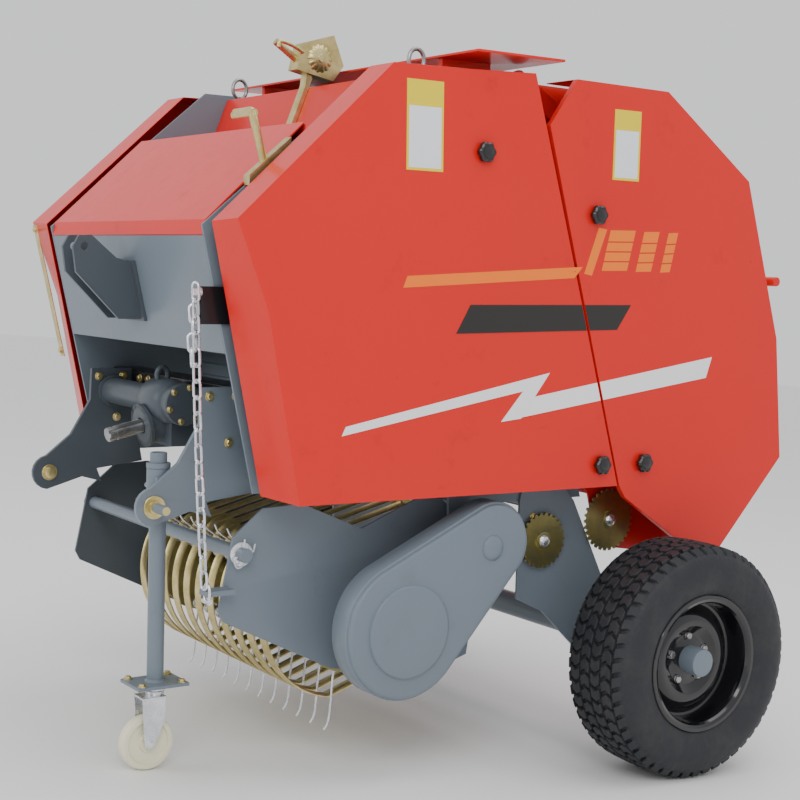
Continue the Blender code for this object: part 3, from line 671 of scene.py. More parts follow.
def casing():
    """Section of the carcass, bead to bead: distance from the tyre's centre plane, and radius."""
    half = np.array(((0.0862, 0.1515), (0.0884, 0.160), (0.0905, 0.168), (0.0960, 0.174), (0.1005, 0.184),
                     (0.1040, 0.198), (0.1055, 0.212), (0.1050, 0.226), (0.1025, 0.240), (0.0985, 0.251),
                     (0.0925, 0.260), (0.0840, 0.2655), (0.060, 0.2715), (0.030, 0.2735), (0.0, 0.2740)))
    return np.vstack((half, half[-2::-1] * (-1, 1)))


def tread_rows():
    """Chevron blocks: columns are distance from the centre plane, half width, chevron depth, phase."""
    return ((-0.0865, 0.0125, 0.006, 0.0), (-0.0530, 0.0150, 0.009, 0.5), (-0.0177, 0.0150, -0.009, 0.0),
            (0.0177, 0.0150, 0.009, 0.5), (0.0530, 0.0150, -0.009, 0.0), (0.0865, 0.0125, -0.006, 0.5))


def tread(hub, side):
    """Every block of every row at once: six corners, three rings from the carcass to a chamfered top."""
    count = sizes().tread_blocks
    step = 2 * math.pi / count
    shapes = []
    for middle, half, depth, phase in tread_rows():
        length = 0.0125
        bend = depth / 0.283
        arc_half = length / 0.283
        corners = np.array(((-half, -arc_half), (0, -arc_half + bend), (half, -arc_half),
                            (half, arc_half), (0, arc_half + bend), (-half, arc_half)))
        rings = []
        for shrink, sink in ((1.06, sizes().tread_depth), (0.97, 0.0012), (0.88, 0.0)):
            t = middle + corners[:, 0] * shrink
            angle = (corners[:, 1] - bend / 2) * shrink + bend / 2
            rings.append((t, angle, crown(t) - sink))
        t = np.array([ring[0] for ring in rings])
        angle = np.array([ring[1] for ring in rings])
        radius = np.array([ring[2] for ring in rings])
        turn = (np.arange(count) + phase) * step
        full = angle[None] + turn[:, None, None]
        x = np.broadcast_to(t, full.shape)
        r = np.broadcast_to(radius, full.shape)
        blocks = np.stack((x * side, r * np.cos(full), r * np.sin(full)), axis=-1) + hub
        shapes += [skin(block) for block in blocks]
    return gather(shapes)


class BALER_OT_tyres(bpy.types.Operator):
    """Make the turf tyres with their chevron tread"""

    bl_idname = "baler.tyres"
    bl_label = "Tyres"

    def execute(self, context):
        def ribs(t, along):
            reach = np.abs(along)
            shoulder = np.exp(-((reach - 0.0925) / 0.006) ** 2)
            return 1 + 0.006 * shoulder * (np.cos(t * 100) > 0)

        for name, side in SIDES:
            hub = np.array((side * TYRE_X, AXLE[1], AXLE[2]))
            carcass = turned(hub, (side, 0, 0), casing(), 400, ribs, hollow=True)
            piece(f"tyre_carcass_{name}", carcass, "rubber", f"wheel_{name}", (f"tyre_{name}",), sharp=40)
            piece(f"tyre_tread_{name}", tread(hub, side), "rubber", f"wheel_{name}")
        return {"FINISHED"}


class BALER_OT_rims(bpy.types.Operator):
    """Press the black rims and set their hub caps and wheel bolts"""

    bl_idname = "baler.rims"
    bl_label = "Rims"

    def execute(self, context):
        outer = ((0.040, 0.020), (0.040, 0.036), (0.034, 0.050), (0.034, 0.062), (0.040, 0.072), (0.048, 0.082),
                 (0.050, 0.094), (0.048, 0.106), (0.040, 0.118), (0.032, 0.126), (0.028, 0.134), (0.030, 0.140),
                 (0.040, 0.1425), (0.070, 0.1430), (0.084, 0.1450), (0.090, 0.1490), (0.0935, 0.1560),
                 (0.0935, 0.1640), (0.0918, 0.1660), (0.0900, 0.1640), (0.0890, 0.1560), (0.0868, 0.1508),
                 (0.0, 0.1500), (-0.0868, 0.1508), (-0.0890, 0.1560), (-0.0900, 0.1640), (-0.0918, 0.1660),
                 (-0.0935, 0.1640), (-0.0935, 0.1560), (-0.090, 0.1490), (-0.084, 0.1450), (-0.060, 0.1435),
                 (0.010, 0.1420), (0.018, 0.136), (0.024, 0.124), (0.040, 0.104), (0.040, 0.084),
                 (0.026, 0.060), (0.022, 0.046), (-0.020, 0.044), (-0.045, 0.040), (-0.045, 0.023),
                 (0.0, 0.0225))
        cap = ((0.030, 0.034), (0.082, 0.034), (0.0865, 0.0325), (0.088, 0.029), (0.088, 0.001))
        for name, side in SIDES:
            hub = np.array((side * TYRE_X, AXLE[1], AXLE[2]))
            shape = turned(hub, (side, 0, 0), outer, 160)
            piece(f"rim_{name}_pressed", shape, "rim", f"wheel_{name}", (f"rim_{name}",), sharp=25)
            piece(f"hub_cap_{name}", turned(hub, (side, 0, 0), cap, 64), "grey", f"wheel_{name}")
            bolts = []
            for angle in np.radians(np.arange(5) * 72 + 20):
                place = hub + (side * 0.0335, 0.056 * math.cos(angle), 0.056 * math.sin(angle))
                bolts.append(hexagon_bolt(place, (side, 0, 0), 0.016, 0.007, 0.010))
            piece(f"wheel_bolts_{name}", gather(bolts), "steel", f"wheel_{name}")
        return {"FINISHED"}


# ---- pickup --------------------------------------------------------------------------------------
class BALER_OT_pickup(bpy.types.Operator):
    """Make the pickup's bands, sprung tines and guard bar"""

    bl_idname = "baler.pickup"
    bl_label = "Pickup"

    def execute(self, context):
        pitch, count = TINE_PITCH, TINES_IN_ROW
        path = np.vstack(((0.622, 0.640), arc(REEL, 0.205, 128, 262, 40), (0.720, 0.300)))
        ahead = np.gradient(path, axis=0)
        ahead /= np.linalg.norm(ahead, axis=1)[:, None]
        out = np.column_stack((ahead[:, 1], -ahead[:, 0]))
        u = np.array((-1, -0.86, -0.5, 0.5, 0.86, 1.0)) * 0.017
        rise = np.array((0.0004, 0.0016, 0.0040, 0.0040, 0.0016, 0.0004))
        bands = []
        for number in range(count - 1):
            middle = (number - (count - 2) / 2) * pitch
            rows = []
            for (y, z), (ny, nz) in zip(path, out):
                top = [(middle + a, y - ny * b, z - nz * b) for a, b in zip(u, rise)]
                low = [(middle + a, y - ny * (b - 0.0026), z - nz * (b - 0.0026)) for a, b in zip(u, rise)]
                rows.append(top + low[::-1])
            bands.append(skin(np.array(rows)))
        bars = [slab(((0.612, 0.628), (0.634, 0.628), (0.634, 0.650), (0.612, 0.650)), -0.3995, 0.3995),
                slab(((0.708, 0.290), (0.732, 0.290), (0.732, 0.312), (0.708, 0.312)), -0.3995, 0.3995)]
        piece("pickup_bands_pressed", gather(bands), "yellow_zinc", "pickup", ("pickup_bands",))
        piece("pickup_band_bars", gather(bars), "yellow_zinc", "pickup", bevel=0.0015)

        wires, holders = [], []
        for angle in np.radians((-99, 21, 141)):
            out_dir = np.array((0, math.cos(angle), math.sin(angle)))
            back = np.array((0, -math.sin(angle), math.cos(angle)))
            seat = np.array((0, *REEL)) + out_dir * REEL_BAR_R
            holders.append(rod(seat + (-0.384, 0, 0), seat + (0.384, 0, 0), 0.011, 24))
            for number in range(count):
                x = (number - (count - 1) / 2) * pitch
                t = np.linspace(0, 3.5 * 2 * math.pi, 64)
                coil = (seat + np.outer(np.cos(t), out_dir) * 0.0135 + np.outer(np.sin(t), back) * 0.0135
                        + np.outer(t / t[-1] - 0.5, (1, 0, 0)) * 0.022)
                start = coil[-1]
                tip = np.array((x, 0, 0)) + np.array((0, *REEL)) + out_dir * 0.281
                coil = coil + (x - 0.011, 0, 0)
                leg = smooth_path((coil[-1], coil[-1] + out_dir * 0.045 - back * 0.006,
                                   tip - out_dir * 0.060, tip - out_dir * 0.020 + back * 0.001,
                                   tip - back * 0.007), 6)
                wires.append(tube(np.vstack((coil, leg[1:])), sizes().tine_wire, 8))
        piece("pickup_tines", gather(wires), "white_zinc", "pickup_reel", ("pickup_reel",))
        spider = ((-0.376, 0.022), (-0.376, 0.136), (-0.3745, 0.138), (-0.3715, 0.138), (-0.370, 0.136),
                  (-0.370, 0.022))
        shaft = rod((-0.3997, *REEL), (0.3997, *REEL), 0.022, 32)
        discs = [turned((0, *REEL), (1, 0, 0), spider, 64)]
        discs.append(turned((0, *REEL), (-1, 0, 0), spider, 64))
        piece("pickup_reel_shaft", gather(holders + discs + [shaft]), "olive_zinc", "pickup_reel")

        bar = rod((-0.436, *GUARD_BAR), (0.436, *GUARD_BAR), 0.016, 48, 0.0015)
        piece("guard_bar_round", bar, "grey", "pickup", ("guard_bar",))
        clips = []
        for side in (1, -1):
            flat = ((0, 0.027), (0.003, 0.027), (0.0035, 0.026))
            washer = turned((side * 0.4085, *GUARD_BAR), (side, 0, 0), flat, 40)
            x = side * 0.421
            clip = smooth_path(((x, 0.122, 0.600), (x, 0.121, 0.580), (x, 0.120, 0.556), (x, 0.116, 0.541),
                                (x, 0.104, 0.538), (x, 0.098, 0.550), (x, 0.104, 0.561), (x, 0.140, 0.568),
                                (x, 0.148, 0.588)), 8)
            clips += [washer, tube(clip, 0.0022, 10)]
        piece("guard_bar_clips", gather(clips), "white_zinc", "pickup")
        return {"FINISHED"}


class BALER_OT_chain_case(bpy.types.Operator):
    """Shape the pickup's chain case with its raised disc and end bulge"""

    bl_idname = "baler.chain_case"
    bl_label = "Chain case"

    def execute(self, context):
        big, small = np.array((0.461, 0.390)), np.array((0.701, 0.570))
        away = small - big
        along = math.degrees(math.atan2(away[1], away[0]))
        spread = math.degrees(math.acos((0.160 - 0.098) / np.linalg.norm(away)))
        # columns: X, how far the outline stands inside its full size
        levels = ((0.500, 0.004), (0.501, 0.001), (0.503, 0.0), (0.558, 0.0), (0.560, 0.0015),
                  (0.5605, 0.005), (0.5665, 0.006), (0.569, 0.0075), (0.5705, 0.010), (0.5710, 0.016),
                  (0.5712, 0.060))
        rings = []
        for x, inset in levels:
            outline = np.vstack((arc(big, 0.160 - inset, along + spread, along + 360 - spread, 72),
                                 arc(small, 0.098 - inset, along - spread, along + spread, 48)))
            rings.append(np.column_stack((np.full(len(outline), x), outline)))
        shell = skin(np.array(rings))
        disc = ((0.570, 0.112), (0.5716, 0.110), (0.5722, 0.107), (0.5775, 0.1055), (0.5792, 0.1035),
                (0.5798, 0.100), (0.5798, 0.045), (0.5790, 0.036), (0.5784, 0.001))
        raised = turned((0, *big), (1, 0, 0), disc, 96)
        bulge = ((0.569, 0.030), (0.5735, 0.029), (0.5775, 0.024), (0.5792, 0.016), (0.5797, 0.001))
        boss = turned((0, 0.690, 0.562), (1, 0, 0), bulge, 48)
        neck = ((0.4085, 0.060), (0.412, 0.060), (0.416, 0.050), (0.503, 0.050))
        hub = turned((0, *REEL), (1, 0, 0), neck, 48)
        piece("chain_case_shell", gather((shell, raised, boss, hub)), "grey", "pickup", ("chain_case",),
              sharp=50)
        plug = ((0, 0.012), (0.020, 0.012), (0.024, 0.020), (0.034, 0.020), (0.037, 0.017))
        stop = turned((0.545, 0.640, 0.418), (0, 0.55, -0.83), plug, 40)
        piece("case_rubber_stop", stop, "knob", "pickup")
        bolts = [hexagon_bolt((0.5613, 0.560, 0.572), (1, 0, 0), 0.010, 0.004, 0.007)]
        piece("case_bolts", gather(bolts), "yellow_zinc", "pickup")
        return {"FINISHED"}


# ---- lift chain ----------------------------------------------------------------------------------
def chain_link(middle, ahead, facing):
    """A link: a wire round a stadium, two straights joined by half circles, in the plane of facing."""
    pitch, wire = sizes().link_pitch, sizes().link_wire
    ahead = ahead / np.linalg.norm(ahead)
    facing = facing - ahead * facing.dot(ahead)
    facing /= np.linalg.norm(facing)
    reach = pitch / 2 + wire
    bend = 0.0088
    t = np.linspace(-math.pi / 2, math.pi / 2, 9)
    half = np.column_stack((reach - bend + bend * np.cos(t), bend * np.sin(t)))
    loop = np.vstack((half, -half))
    path = middle + np.outer(loop[:, 0], ahead) + np.outer(loop[:, 1], facing)
    return tube(path, wire, 10, closed=True)


class BALER_OT_lift_chain(bpy.types.Operator):
    """Hang the pickup's lift chain link by link"""

    bl_idname = "baler.lift_chain"
    bl_label = "Lift chain"

    def execute(self, context):
        top = np.array((0.4335, -0.014, 1.138))
        foot = np.array((0.4335, 0.018, 0.520))
        length = np.linalg.norm(foot - top)
        count = int(round(length / sizes().link_pitch))
        ahead = (foot - top) / length
        links = []
        for number in range(count + 1):
            share = number / count
            middle = top + (foot - top) * share + (0, -0.004 * math.sin(math.pi * share), 0)
            turn = math.radians(22 + 90 * (number % 2) + 6 * math.sin(number * 2.3))
            links.append(chain_link(middle, ahead, np.array((math.cos(turn), math.sin(turn), 0.0))))
        for number in range(4):
            middle = top + (-0.012 - 0.002 * number, 0.002, -0.046 - number * 0.031)
            turn = math.radians(70 + 90 * (number % 2))
            facing = np.array((math.cos(turn), math.sin(turn), 0))
            links.append(chain_link(middle, np.array((0.12, 0, -1.0)), facing))
        made = piece("lift_chain_links", gather(links), "white_zinc", "frame", ("lift_chain",))
        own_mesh(made)

        bow = np.array([(0.4335 + 0.013 * math.cos(a), 0.026, 0.492 + 0.020 * math.sin(a))
                        for a in np.linspace(-0.35 * math.pi, 1.35 * math.pi, 24)])
        pin = rod((0.414, 0.026, 0.474), (0.454, 0.026, 0.474), 0.0035, 16)
        ends = [turned((0.4335 + s * 0.0085, 0.026, 0.474), (s, 0, 0), ((0, 0.0065), (0.006, 0.0065)), 20)
                for s in (1, -1)]
        piece("lift_chain_shackle", gather([tube(bow, 0.0035, 12), pin, *ends]), "white_zinc", "pickup")
        hook = hexagon_bolt((0.4335, -0.0032, 1.138), (0, -1, 0), 0.014, 0.018, 0.010)
        piece("lift_chain_bolt", hook, "white_zinc", "frame")
        return {"FINISHED"}


# ---- jack ----------------------------------------------------------------------------------------
class BALER_OT_jack(bpy.types.Operator):
    """Turn the jack's leg, fork and castor wheel"""

    bl_idname = "baler.jack"
    bl_label = "Jack"

    def execute(self, context):
        x, y = JACK
        wheel = middle_of("castor_wheel")
        foot = wheel[2] + 0.1285    # underside of the foot plate
        post = ((foot + 0.006, 0.019), (0.778, 0.019), (0.780, 0.0175), (0.780, 0.0150), (0.772, 0.0148))
        ring = ((0.7453, 0.026), (0.7463, 0.027), (0.756, 0.027), (0.757, 0.026))
        bead = ((foot + 0.0075, 0.0235), (foot + 0.0095, 0.0225), (foot + 0.013, 0.0192))
        leg, collar, weld = (turned((x, y, 0), (0, 0, 1), profile, segments)
                             for profile, segments in ((post, 64), (ring, 64), (bead, 48)))
        piece("jack_leg_tube", gather((leg, collar, weld)), "grey", "jack_leg", ("jack_leg",))
        plate = np.array(((-0.050, -0.062), (0.050, -0.062), (0.050, 0.062), (-0.050, 0.062)))
        rows = [np.column_stack((plate + (x, y), np.full(4, z))) for z in (foot, foot + 0.008)]
        piece("jack_foot_plate", skin(np.array(rows)), "grey", "jack_leg", bevel=0.002)
        bolts = [hexagon_bolt((x + a * 0.038, y + b * 0.048, foot + 0.008), (0, 0, 1), 0.013, 0.006, 0.010)
                 for a in (1, -1) for b in (1, -1)]
        piece("jack_foot_bolts", gather(bolts), "yellow_zinc", "jack_leg")
        wall = ((0.655, 0.0205), (0.655, 0.0250), (0.6565, 0.0260), (0.7435, 0.0260),
                (0.745, 0.0250), (0.745, 0.0205))
        sleeve = turned((x, y, 0), (0, 0, 1), wall, 64, hollow=True)
        lug = slab(((y - 0.018, 0.672), (y + 0.018, 0.672), (y + 0.018, 0.728), (y - 0.018, 0.728)),
                   x + 0.0222, 0.3007)
        piece("jack_sleeve_tube", gather((sleeve, lug)), "grey", "frame", ("jack_sleeve",))
        handle = rod((x - 0.060, y, 0.700), (x + 0.022, y, 0.700), 0.006, 20)
        piece("jack_cross_pin", handle, "grey", "frame")

        race = ((foot - 0.0003, 0.022), (foot - 0.004, 0.025), (foot - 0.010, 0.025), (foot - 0.014, 0.021),
                (foot - 0.024, 0.020))
        head = turned((x, y, 0), (0, 0, 1), race, 48)
        wy, wz = wheel[1], wheel[2]
        cheek = ((wy - 0.020, foot - 0.024), (wy - 0.016, wz + 0.020), (wy - 0.012, wz - 0.006),
                 (wy - 0.004, wz - 0.012), (wy + 0.006, wz - 0.011), (wy + 0.012, wz - 0.004),
                 (y + 0.014, wz + 0.050), (y + 0.018, foot - 0.024))
        crown_plate = slab(((wy - 0.020, foot - 0.028), (y + 0.018, foot - 0.028), (y + 0.018, foot - 0.023),
                            (wy - 0.020, foot - 0.023)), x - 0.026, x + 0.026)
        parts = [crown_plate]
        for side in (1, -1):
            parts.append(slab(cheek, x + side * 0.0215, x + side * 0.0255))
        piece("castor_fork_pressed", gather(parts), "white_zinc", "castor_fork", ("castor_fork",), bevel=0.0012)
        nuts = [hexagon_bolt((x + s * 0.0255, wy, wz), (s, 0, 0), 0.013, 0.005, 0.009) for s in (1, -1)]
        axle = rod((x - 0.026, wy, wz), (x + 0.026, wy, wz), 0.005, 20)
        piece("castor_head", gather([head, axle, *nuts]), "white_zinc", "castor_fork")
        half = ((0.016, 0.0070), (0.016, 0.020), (0.010, 0.022), (0.010, 0.046), (0.0155, 0.049),
                (0.0158, 0.055), (0.014, 0.0595), (0.009, 0.0618))
        tyre = [(-along, radius) for along, radius in half] + [(0, 0.0624), *half[::-1]]
        shape = turned((x, wy, wz), (1, 0, 0), tyre, 80, hollow=True)
        piece("castor_wheel_moulded", shape, "nylon", "castor_wheel", ("castor_wheel",))
        return {"FINISHED"}


# ---- gearbox -------------------------------------------------------------------------------------
class BALER_OT_gearbox(bpy.types.Operator):
    """Cast the gearbox, its bell and bolts, and cut the splined shaft"""

    bl_idname = "baler.gearbox"
    bl_label = "Gearbox"

    def execute(self, context):
        d = np.array((0, -math.cos(PTO_TILT), -math.sin(PTO_TILT)))
        base = np.array(PTO_BASE)
        mouth = ((-0.040, 0.060), (-0.030, 0.060), (-0.024, 0.052), (0.006, 0.0455), (0.022, 0.0455),
                 (0.025, 0.051), (0.034, 0.0520), (0.036, 0.0505), (0.036, 0.043), (0.030, 0.041),
                 (0.006, 0.040), (0.004, 0.0196), (-0.0053, 0.0195))
        bell = turned(base, d, mouth, 64)
        casting = ((0, 0.040), (0.008, 0.040), (0.009, 0.033), (0.230, 0.033), (0.236, 0.040), (0.262, 0.052),
                   (0.340, 0.056), (0.366, 0.050), (0.372, 0.044), (0.400, 0.044), (0.402, 0.050),
                   (0.416, 0.050), (0.4185, 0.048))
        tube_run = turned((-0.3007, *CROSS_TUBE), (1, 0, 0), casting, 64)
        ring = np.array([(0.0, 0.118 + 0.014 * math.cos(a), 0.930 + 0.018 * math.sin(a))
                         for a in np.linspace(0, 2 * math.pi, 28, endpoint=False)])
        eye = tube(ring, 0.0065, 12, closed=True)
        piece("gearbox_castings", gather((bell, tube_run, eye)), "dark_grey_and_painted_shade", "frame")
        softened("gearbox", "dark_grey_and_painted_shade", 0.006)
        bolts = []
        for angle in np.radians(np.arange(6) * 60 + 15):
            offset = (0, 0.041 * math.cos(angle), 0.041 * math.sin(angle))
            seat = np.array((0.1175, *CROSS_TUBE)) + offset
            bolts.append(hexagon_bolt(seat, (1, 0, 0), 0.011, 0.005, 0.008))
        bolts.append(hexagon_bolt((0.040, 0.1085, 0.860), (0, -1, 0), 0.013, 0.006, 0.009))
        bolts.append(hexagon_bolt((-0.050, 0.1085, 0.780), (0, -1, 0), 0.013, 0.006, 0.009))
        piece("gearbox_bolts", gather(bolts), "yellow_zinc", "frame")

        def splines(t, along):
            cut = (np.cos(6 * t) > -0.25).astype(float)
            return np.where((along > 0.03) & (along < 0.1235), 0.86 + 0.14 * cut, np.ones_like(cut))

        profile = ((-0.005, 0.0172), (0.030, 0.0172), (0.0305, 0.0174), (0.104, 0.0174), (0.1045, 0.0158),
                   (0.110, 0.0158), (0.1105, 0.0174), (0.1225, 0.0174), (0.1249, 0.0158))
        shaft = turned(base, d, profile, 144, splines)
        piece("pto_shaft_splined", shaft, "steel", "pto_shaft", ("pto_shaft",))
        return {"FINISHED"}


# ---- rollers and sprockets -----------------------------------------------------------------------
class BALER_OT_rollers(bpy.types.Operator):
    """Roll the ribbed press rollers"""

    bl_idname = "baler.rollers"
    bl_label = "Rollers"

    def execute(self, context):
        def ribs(t, along):
            return np.where(np.abs(along) < 0.398, 0.955 + 0.045 * (np.cos(t * 10) > 0.72), 1.0)

        profile = [(-0.4215, 0.0175), (-0.4118, 0.0175), (-0.4117, 0.0560), (-0.4100, 0.0578),
                   (-0.4000, 0.0578), (-0.3985, 0.0578), (-0.3975, 0.0578)]
        profile += [(-along, radius) for along, radius in reversed(profile)]
        for node in sorted(frame["nodes"]):
            if "_roller_" not in node:
                continue
            shape = turned(middle_of(node), (1, 0, 0), profile, 160, ribs)
            piece(f"{node}_ribbed", shape, "grey", body_named(node), (node,), sharp=28)
        return {"FINISHED"}


class BALER_OT_sprockets(bpy.types.Operator):
    """Cut the toothed sprockets"""

    bl_idname = "baler.sprockets"
    bl_label = "Sprockets"

    def execute(self, context):
        for node, teeth in (("drive_sprocket", 26), ("gate_sprocket", 30)):
            low, high = np.array(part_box(node))
            centre, radius = middle_of(node), (high[1] - low[1]) / 2

            def toothed(t, along, teeth=teeth, radius=radius):
                cut = np.clip(0.5 + 1.4 * np.cos(teeth * t), 0, 1) * 0.085
                return np.where(along < 0.0031, 1 - 0.085 + cut, 1.0)

            chamfered = radius * 0.985
            profile = ((-0.003, chamfered), (-0.0015, radius), (0.0015, radius), (0.003, chamfered),
                       (0.00305, 0.024), (0.0070, 0.022), (0.0074, 0.020), (0.0074, 0.011))
            shape = turned((0.449, centre[1], centre[2]), (1, 0, 0), profile, teeth * 12, toothed)
            nut = hexagon_bolt((0.4565, centre[1], centre[2]), (1, 0, 0), 0.020, 0.008, 0.015)
            piece(f"{node}_toothed", shape, "olive_zinc", body_named(node), (node,))
            piece(f"{node}_nut", nut, "white_zinc", "frame" if node == "drive_sprocket" else "tailgate")
        return {"FINISHED"}


# ---- fittings ------------------------------------------------------------------------------------
class BALER_OT_fittings(bpy.types.Operator):
    """Add the crank, ratchet, lifting eyes, latch strap, hitch pins and bolts"""

    bl_idname = "baler.fittings"
    bl_label = "Fittings"

    def execute(self, context):
        crank = smooth_path(((0.435, 0.140, 1.418), (0.435, 0.128, 1.462), (0.435, 0.114, 1.505),
                             (0.433, 0.112, 1.520), (0.424, 0.112, 1.525), (0.395, 0.112, 1.525),
                             (0.355, 0.112, 1.525)), 8)
        softened("crank_handle", "yellow_zinc", 0.002)
        piece("crank_rod", tube(crank, 0.0086, 16), "yellow_zinc", "frame")
        eyes = []
        for side in (1, -1):
            ring = [(side * 0.425, 0.535 + 0.021 * math.cos(a), 1.672 + 0.026 * math.sin(a))
                    for a in np.linspace(-0.42 * math.pi, 1.42 * math.pi, 32)]
            eyes.append(tube(ring, 0.0050, 14))
        piece("lifting_eyes", gather(eyes), "steel", "frame")

        softened("ratchet_tensioner", "yellow_zinc", 0.002)
        wheel = ((-0.030, 0.020), (-0.024, 0.034), (-0.023, 0.035), (0.023, 0.035), (0.024, 0.034), (0.030, 0.020))

        def teeth(t, along):
            return np.where(np.abs(along) < 0.0245, 0.92 + 0.08 * (np.cos(14 * t) > 0), 1.0)

        parts = [turned((0, 0.520, 1.712), (1, 0, 0), wheel, 168, teeth)]
        parts.append(rod((-0.034, 0.520, 1.712), (0.034, 0.520, 1.712), 0.010, 24))
        lever = ((0.026, 0.470, 1.722), (0.026, 0.440, 1.735), (0.026, 0.405, 1.742), (0.026, 0.400, 1.728))
        parts.append(tube(smooth_path(lever, 8), 0.005, 12))
        piece("ratchet_wheel", gather(parts), "yellow_zinc", "frame")

        softened("latch_strap", "yellow_zinc", 0.0008)
        heads = []
        for z in (1.272, 0.955):
            y = 0.010 + (1.290 - z) * 0.2349 - 0.0036
            heads.append(hexagon_bolt((-0.5595, y, z), (0, -0.974, -0.228), 0.012, 0.005, 0.009))
        piece("latch_bolts", gather(heads), "yellow_zinc", "frame")

        pins, bolts = [], []
        for side in (1, -1):
            profile = ((0, 0.026), (0.0035, 0.026), (0.0042, 0.025), (0.0043, 0.0155), (0.012, 0.0150),
                       (0.0125, 0.0108), (0.060, 0.0108), (0.0619, 0.0092))
            pins.append(turned((side * 0.3132, *HITCH_PIN), (side, 0, 0), profile, 48))
            for y, z in ((0.084, 0.905), (0.150, 0.905), (0.134, 0.800)):
                bolts.append(hexagon_bolt((side * 0.3132, y, z), (side, 0, 0), 0.014, 0.007, 0.011))
                bolts.append(hexagon_bolt((side * 0.3008, y, z), (-side, 0, 0), 0.014, 0.007, 0.011))
            bolts.append(hexagon_bolt((side * 0.3008, *HITCH_PIN), (-side, 0, 0), 0.028, 0.011, 0.020))
            for y, z in ((0.705, 0.730), (0.945, 0.780), (0.945, 0.700), (0.915, 0.600)):
                bolts.append(hexagon_bolt((side * 0.4365, y, z), (side, 0, 0), 0.014, 0.007, 0.011))
            bolts.append(hexagon_bolt((side * 0.4365, 0.701, 0.570), (side, 0, 0), 0.020, 0.006, 0.016))
        for x in (-0.25, -0.20, -0.13, 0.16, 0.24):
            bolts.append(hexagon_bolt((x, 0.1748, 0.902), (0, -1, 0), 0.014, 0.007, 0.011))
        piece("hitch_pins", gather(pins), "yellow_zinc", "frame")
        piece("frame_bolts", gather(bolts), "yellow_zinc", "frame")
        axle = rod((-0.574, AXLE[1], AXLE[2]), (0.574, AXLE[1], AXLE[2]), 0.0325, 64)
        piece("axle_tube_round", axle, "grey", "frame")
        bar = rod((-0.584, 1.575, 1.194), (0.584, 1.575, 1.194), 0.0122, 32, 0.002)
        piece("gate_bumper_round", bar, "red", "tailgate")
        return {"FINISHED"}


class BALER_OT_carried(bpy.types.Operator):
    """Break the edges of the plain plates and beams and paint them"""

    bl_idname = "baler.carried"
    bl_label = "Plates and beams"

    def execute(self, context):
        # columns: node, finish, edge radius
        table = (
            ("front_beam", "grey", 0.0015), ("top_link_clevis", "dark_grey_and_painted_shade", 0.0012),
            ("lower_cross_beam", "black", 0.004), ("hitch_plate_left", "grey", 0.0012),
            # the right hitch plate takes the darker grey as painted shade; its left twin is grey
            ("hitch_plate_right", "dark_grey_and_painted_shade", 0.0012), ("twine_box_hood", "red", 0.0012),
            ("twine_box_tray", "red", 0.0012), ("bridge_plate", "red", 0.0012), ("axle_beam", "grey", 0.0012),
            ("pickup_hanger_left", "grey", 0.0012), ("pickup_hanger_right", "grey", 0.0012),
            ("chain_bracket", "black", 0.001), ("gate_beam_upper", "red", 0.004), ("gate_beam_lower", "red", 0.004),
            ("gate_bumper", "red", 0.001), ("gate_side_left", "red", 0.001), ("gate_side_right", "red", 0.001),
            ("side_plate_left", "grey", 0.001), ("side_plate_right", "grey", 0.001),
            # the right pickup side takes the darker grey as painted shade; its left twin is grey
            ("pickup_side_left", "grey", 0.0012), ("pickup_side_right", "dark_grey_and_painted_shade", 0.0012),
        )
        for node, look, bevel in table:
            softened(node, look, bevel)
        return {"FINISHED"}


# ---- stage ---------------------------------------------------------------------------------------
def soft_light(name, place, target, size, power):
    """A square area light that faces a point."""
    lamp = bpy.data.lights.new(name, "AREA")
    lamp.size = size
    lamp.energy = power
    made = bpy.data.objects.new(name, lamp)
    made.location = place
    d = np.asarray(target, float) - np.asarray(place, float)
    back, side, up = basis(-d)
    made.rotation_euler = Matrix(np.column_stack((side, up, back)).tolist()).to_euler()
    bpy.context.scene.collection.objects.link(made)


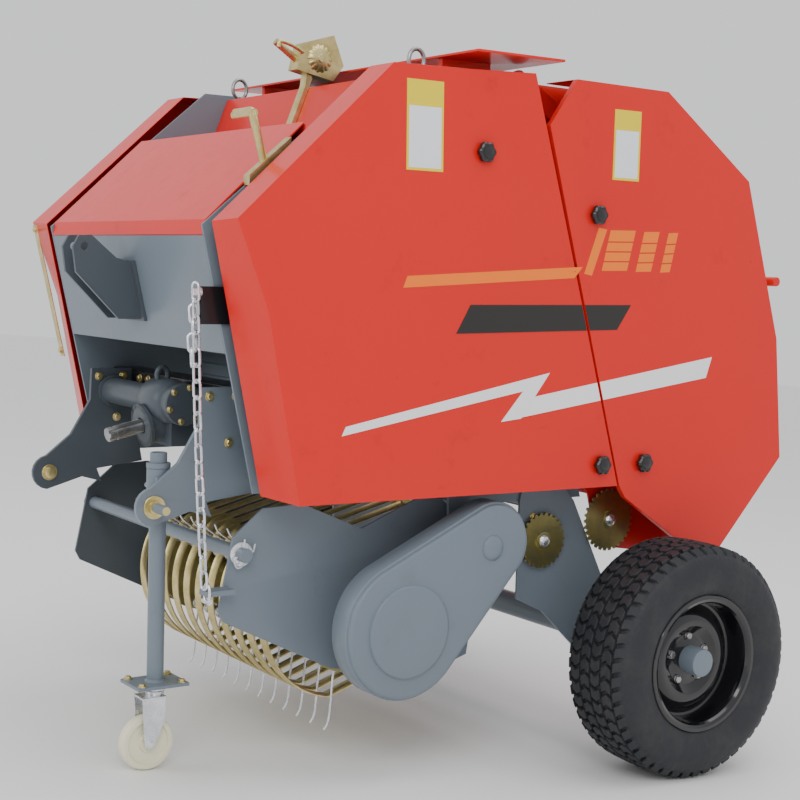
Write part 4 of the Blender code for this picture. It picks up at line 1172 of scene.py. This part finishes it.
class BALER_OT_stage(bpy.types.Operator):
    """Set the pale floor, the soft lights and the camera"""

    bl_idname = "baler.stage"
    bl_label = "Stage"

    def execute(self, context):
        floor_look = Finish("pale_floor", (0.90, 0.90, 0.89), 0.75)
        haze = floor_look.band(floor_look.noise(0.8, 3), 0.3, 0.8)
        floor_look.set("Base Color", floor_look.shade(haze, 0.985))
        mesh = bpy.data.meshes.new("floor")
        reach = 30.0
        corners = [(-reach, -reach, 0), (reach, -reach, 0), (reach, reach, 0), (-reach, reach, 0)]
        mesh.from_pydata(corners, [], [(0, 1, 2, 3)])
        mesh.materials.append(floor_look.material)
        floor = bpy.data.objects.new("floor", mesh)
        bpy.context.scene.collection.objects.link(floor)

        world = bpy.data.worlds.new("studio")
        world.use_nodes = True
        world.node_tree.nodes["Background"].inputs[0].default_value = (0.97, 0.98, 1.0, 1)
        world.node_tree.nodes["Background"].inputs[1].default_value = 0.95
        bpy.context.scene.world = world
        middle = (0.0, 0.0, 0.9)
        soft_light("key_light", (5.0, -3.6, 4.6), middle, 3.2, 150)
        soft_light("front_light", (-1.2, -6.0, 2.6), middle, 3.0, 60)
        soft_light("top_light", (0.5, 0.8, 6.0), middle, 4.5, 120)

        turn, dip, roll = math.radians(55.94), math.radians(4.839), math.radians(1.707)
        d = np.array((-math.sin(turn) * math.cos(dip), math.cos(turn) * math.cos(dip), -math.sin(dip)))
        right = np.array((math.cos(turn), math.sin(turn), 0))
        up = np.cross(right, d)
        rolled_right = math.cos(roll) * right + math.sin(roll) * up
        rolled_up = -math.sin(roll) * right + math.cos(roll) * up
        axes = turn_matrix() @ np.column_stack((rolled_right, rolled_up, -d))
        data = bpy.data.cameras.new("camera")
        data.lens = 70.07
        data.sensor_width = 36.0
        camera = bpy.data.objects.new("camera", data)
        matrix = Matrix(axes.tolist()).to_4x4()
        matrix.translation = lean([(3.3936, -1.4893, 1.2004)])[0].tolist()
        camera.matrix_world = matrix
        bpy.context.scene.collection.objects.link(camera)
        bpy.context.scene.camera = camera
        return {"FINISHED"}


OPERATORS = (
    BALER_OT_stage, BALER_OT_covers, BALER_OT_knobs, BALER_OT_stripes, BALER_OT_labels, BALER_OT_tyres,
    BALER_OT_rims, BALER_OT_pickup, BALER_OT_chain_case, BALER_OT_lift_chain, BALER_OT_jack, BALER_OT_gearbox,
    BALER_OT_rollers, BALER_OT_sprockets, BALER_OT_fittings, BALER_OT_carried,
)


class BALER_PT_panel(bpy.types.Panel):
    """The baler's pieces, in the order they are made"""

    bl_idname = "BALER_PT_panel"
    bl_label = "Round Baler"
    bl_space_type = "VIEW_3D"
    bl_region_type = "UI"
    bl_category = "Baler"

    def draw(self, context):
        for operator in OPERATORS:
            self.layout.operator(operator.bl_idname)


CLASSES = (BalerSizes, BalerColours, *OPERATORS, BALER_PT_panel)


def register():
    for item in CLASSES:
        bpy.utils.register_class(item)
    bpy.types.Scene.baler_sizes = PointerProperty(type=BalerSizes)
    bpy.types.Scene.baler_colours = PointerProperty(type=BalerColours)


def unregister():
    del bpy.types.Scene.baler_colours
    del bpy.types.Scene.baler_sizes
    for item in reversed(CLASSES):
        bpy.utils.unregister_class(item)


def main():
    register()
    make_looks()
    for operator in OPERATORS:
        group, name = operator.bl_idname.split(".")
        getattr(getattr(bpy.ops, group), name)()


if __name__ == "__main__":
    main()
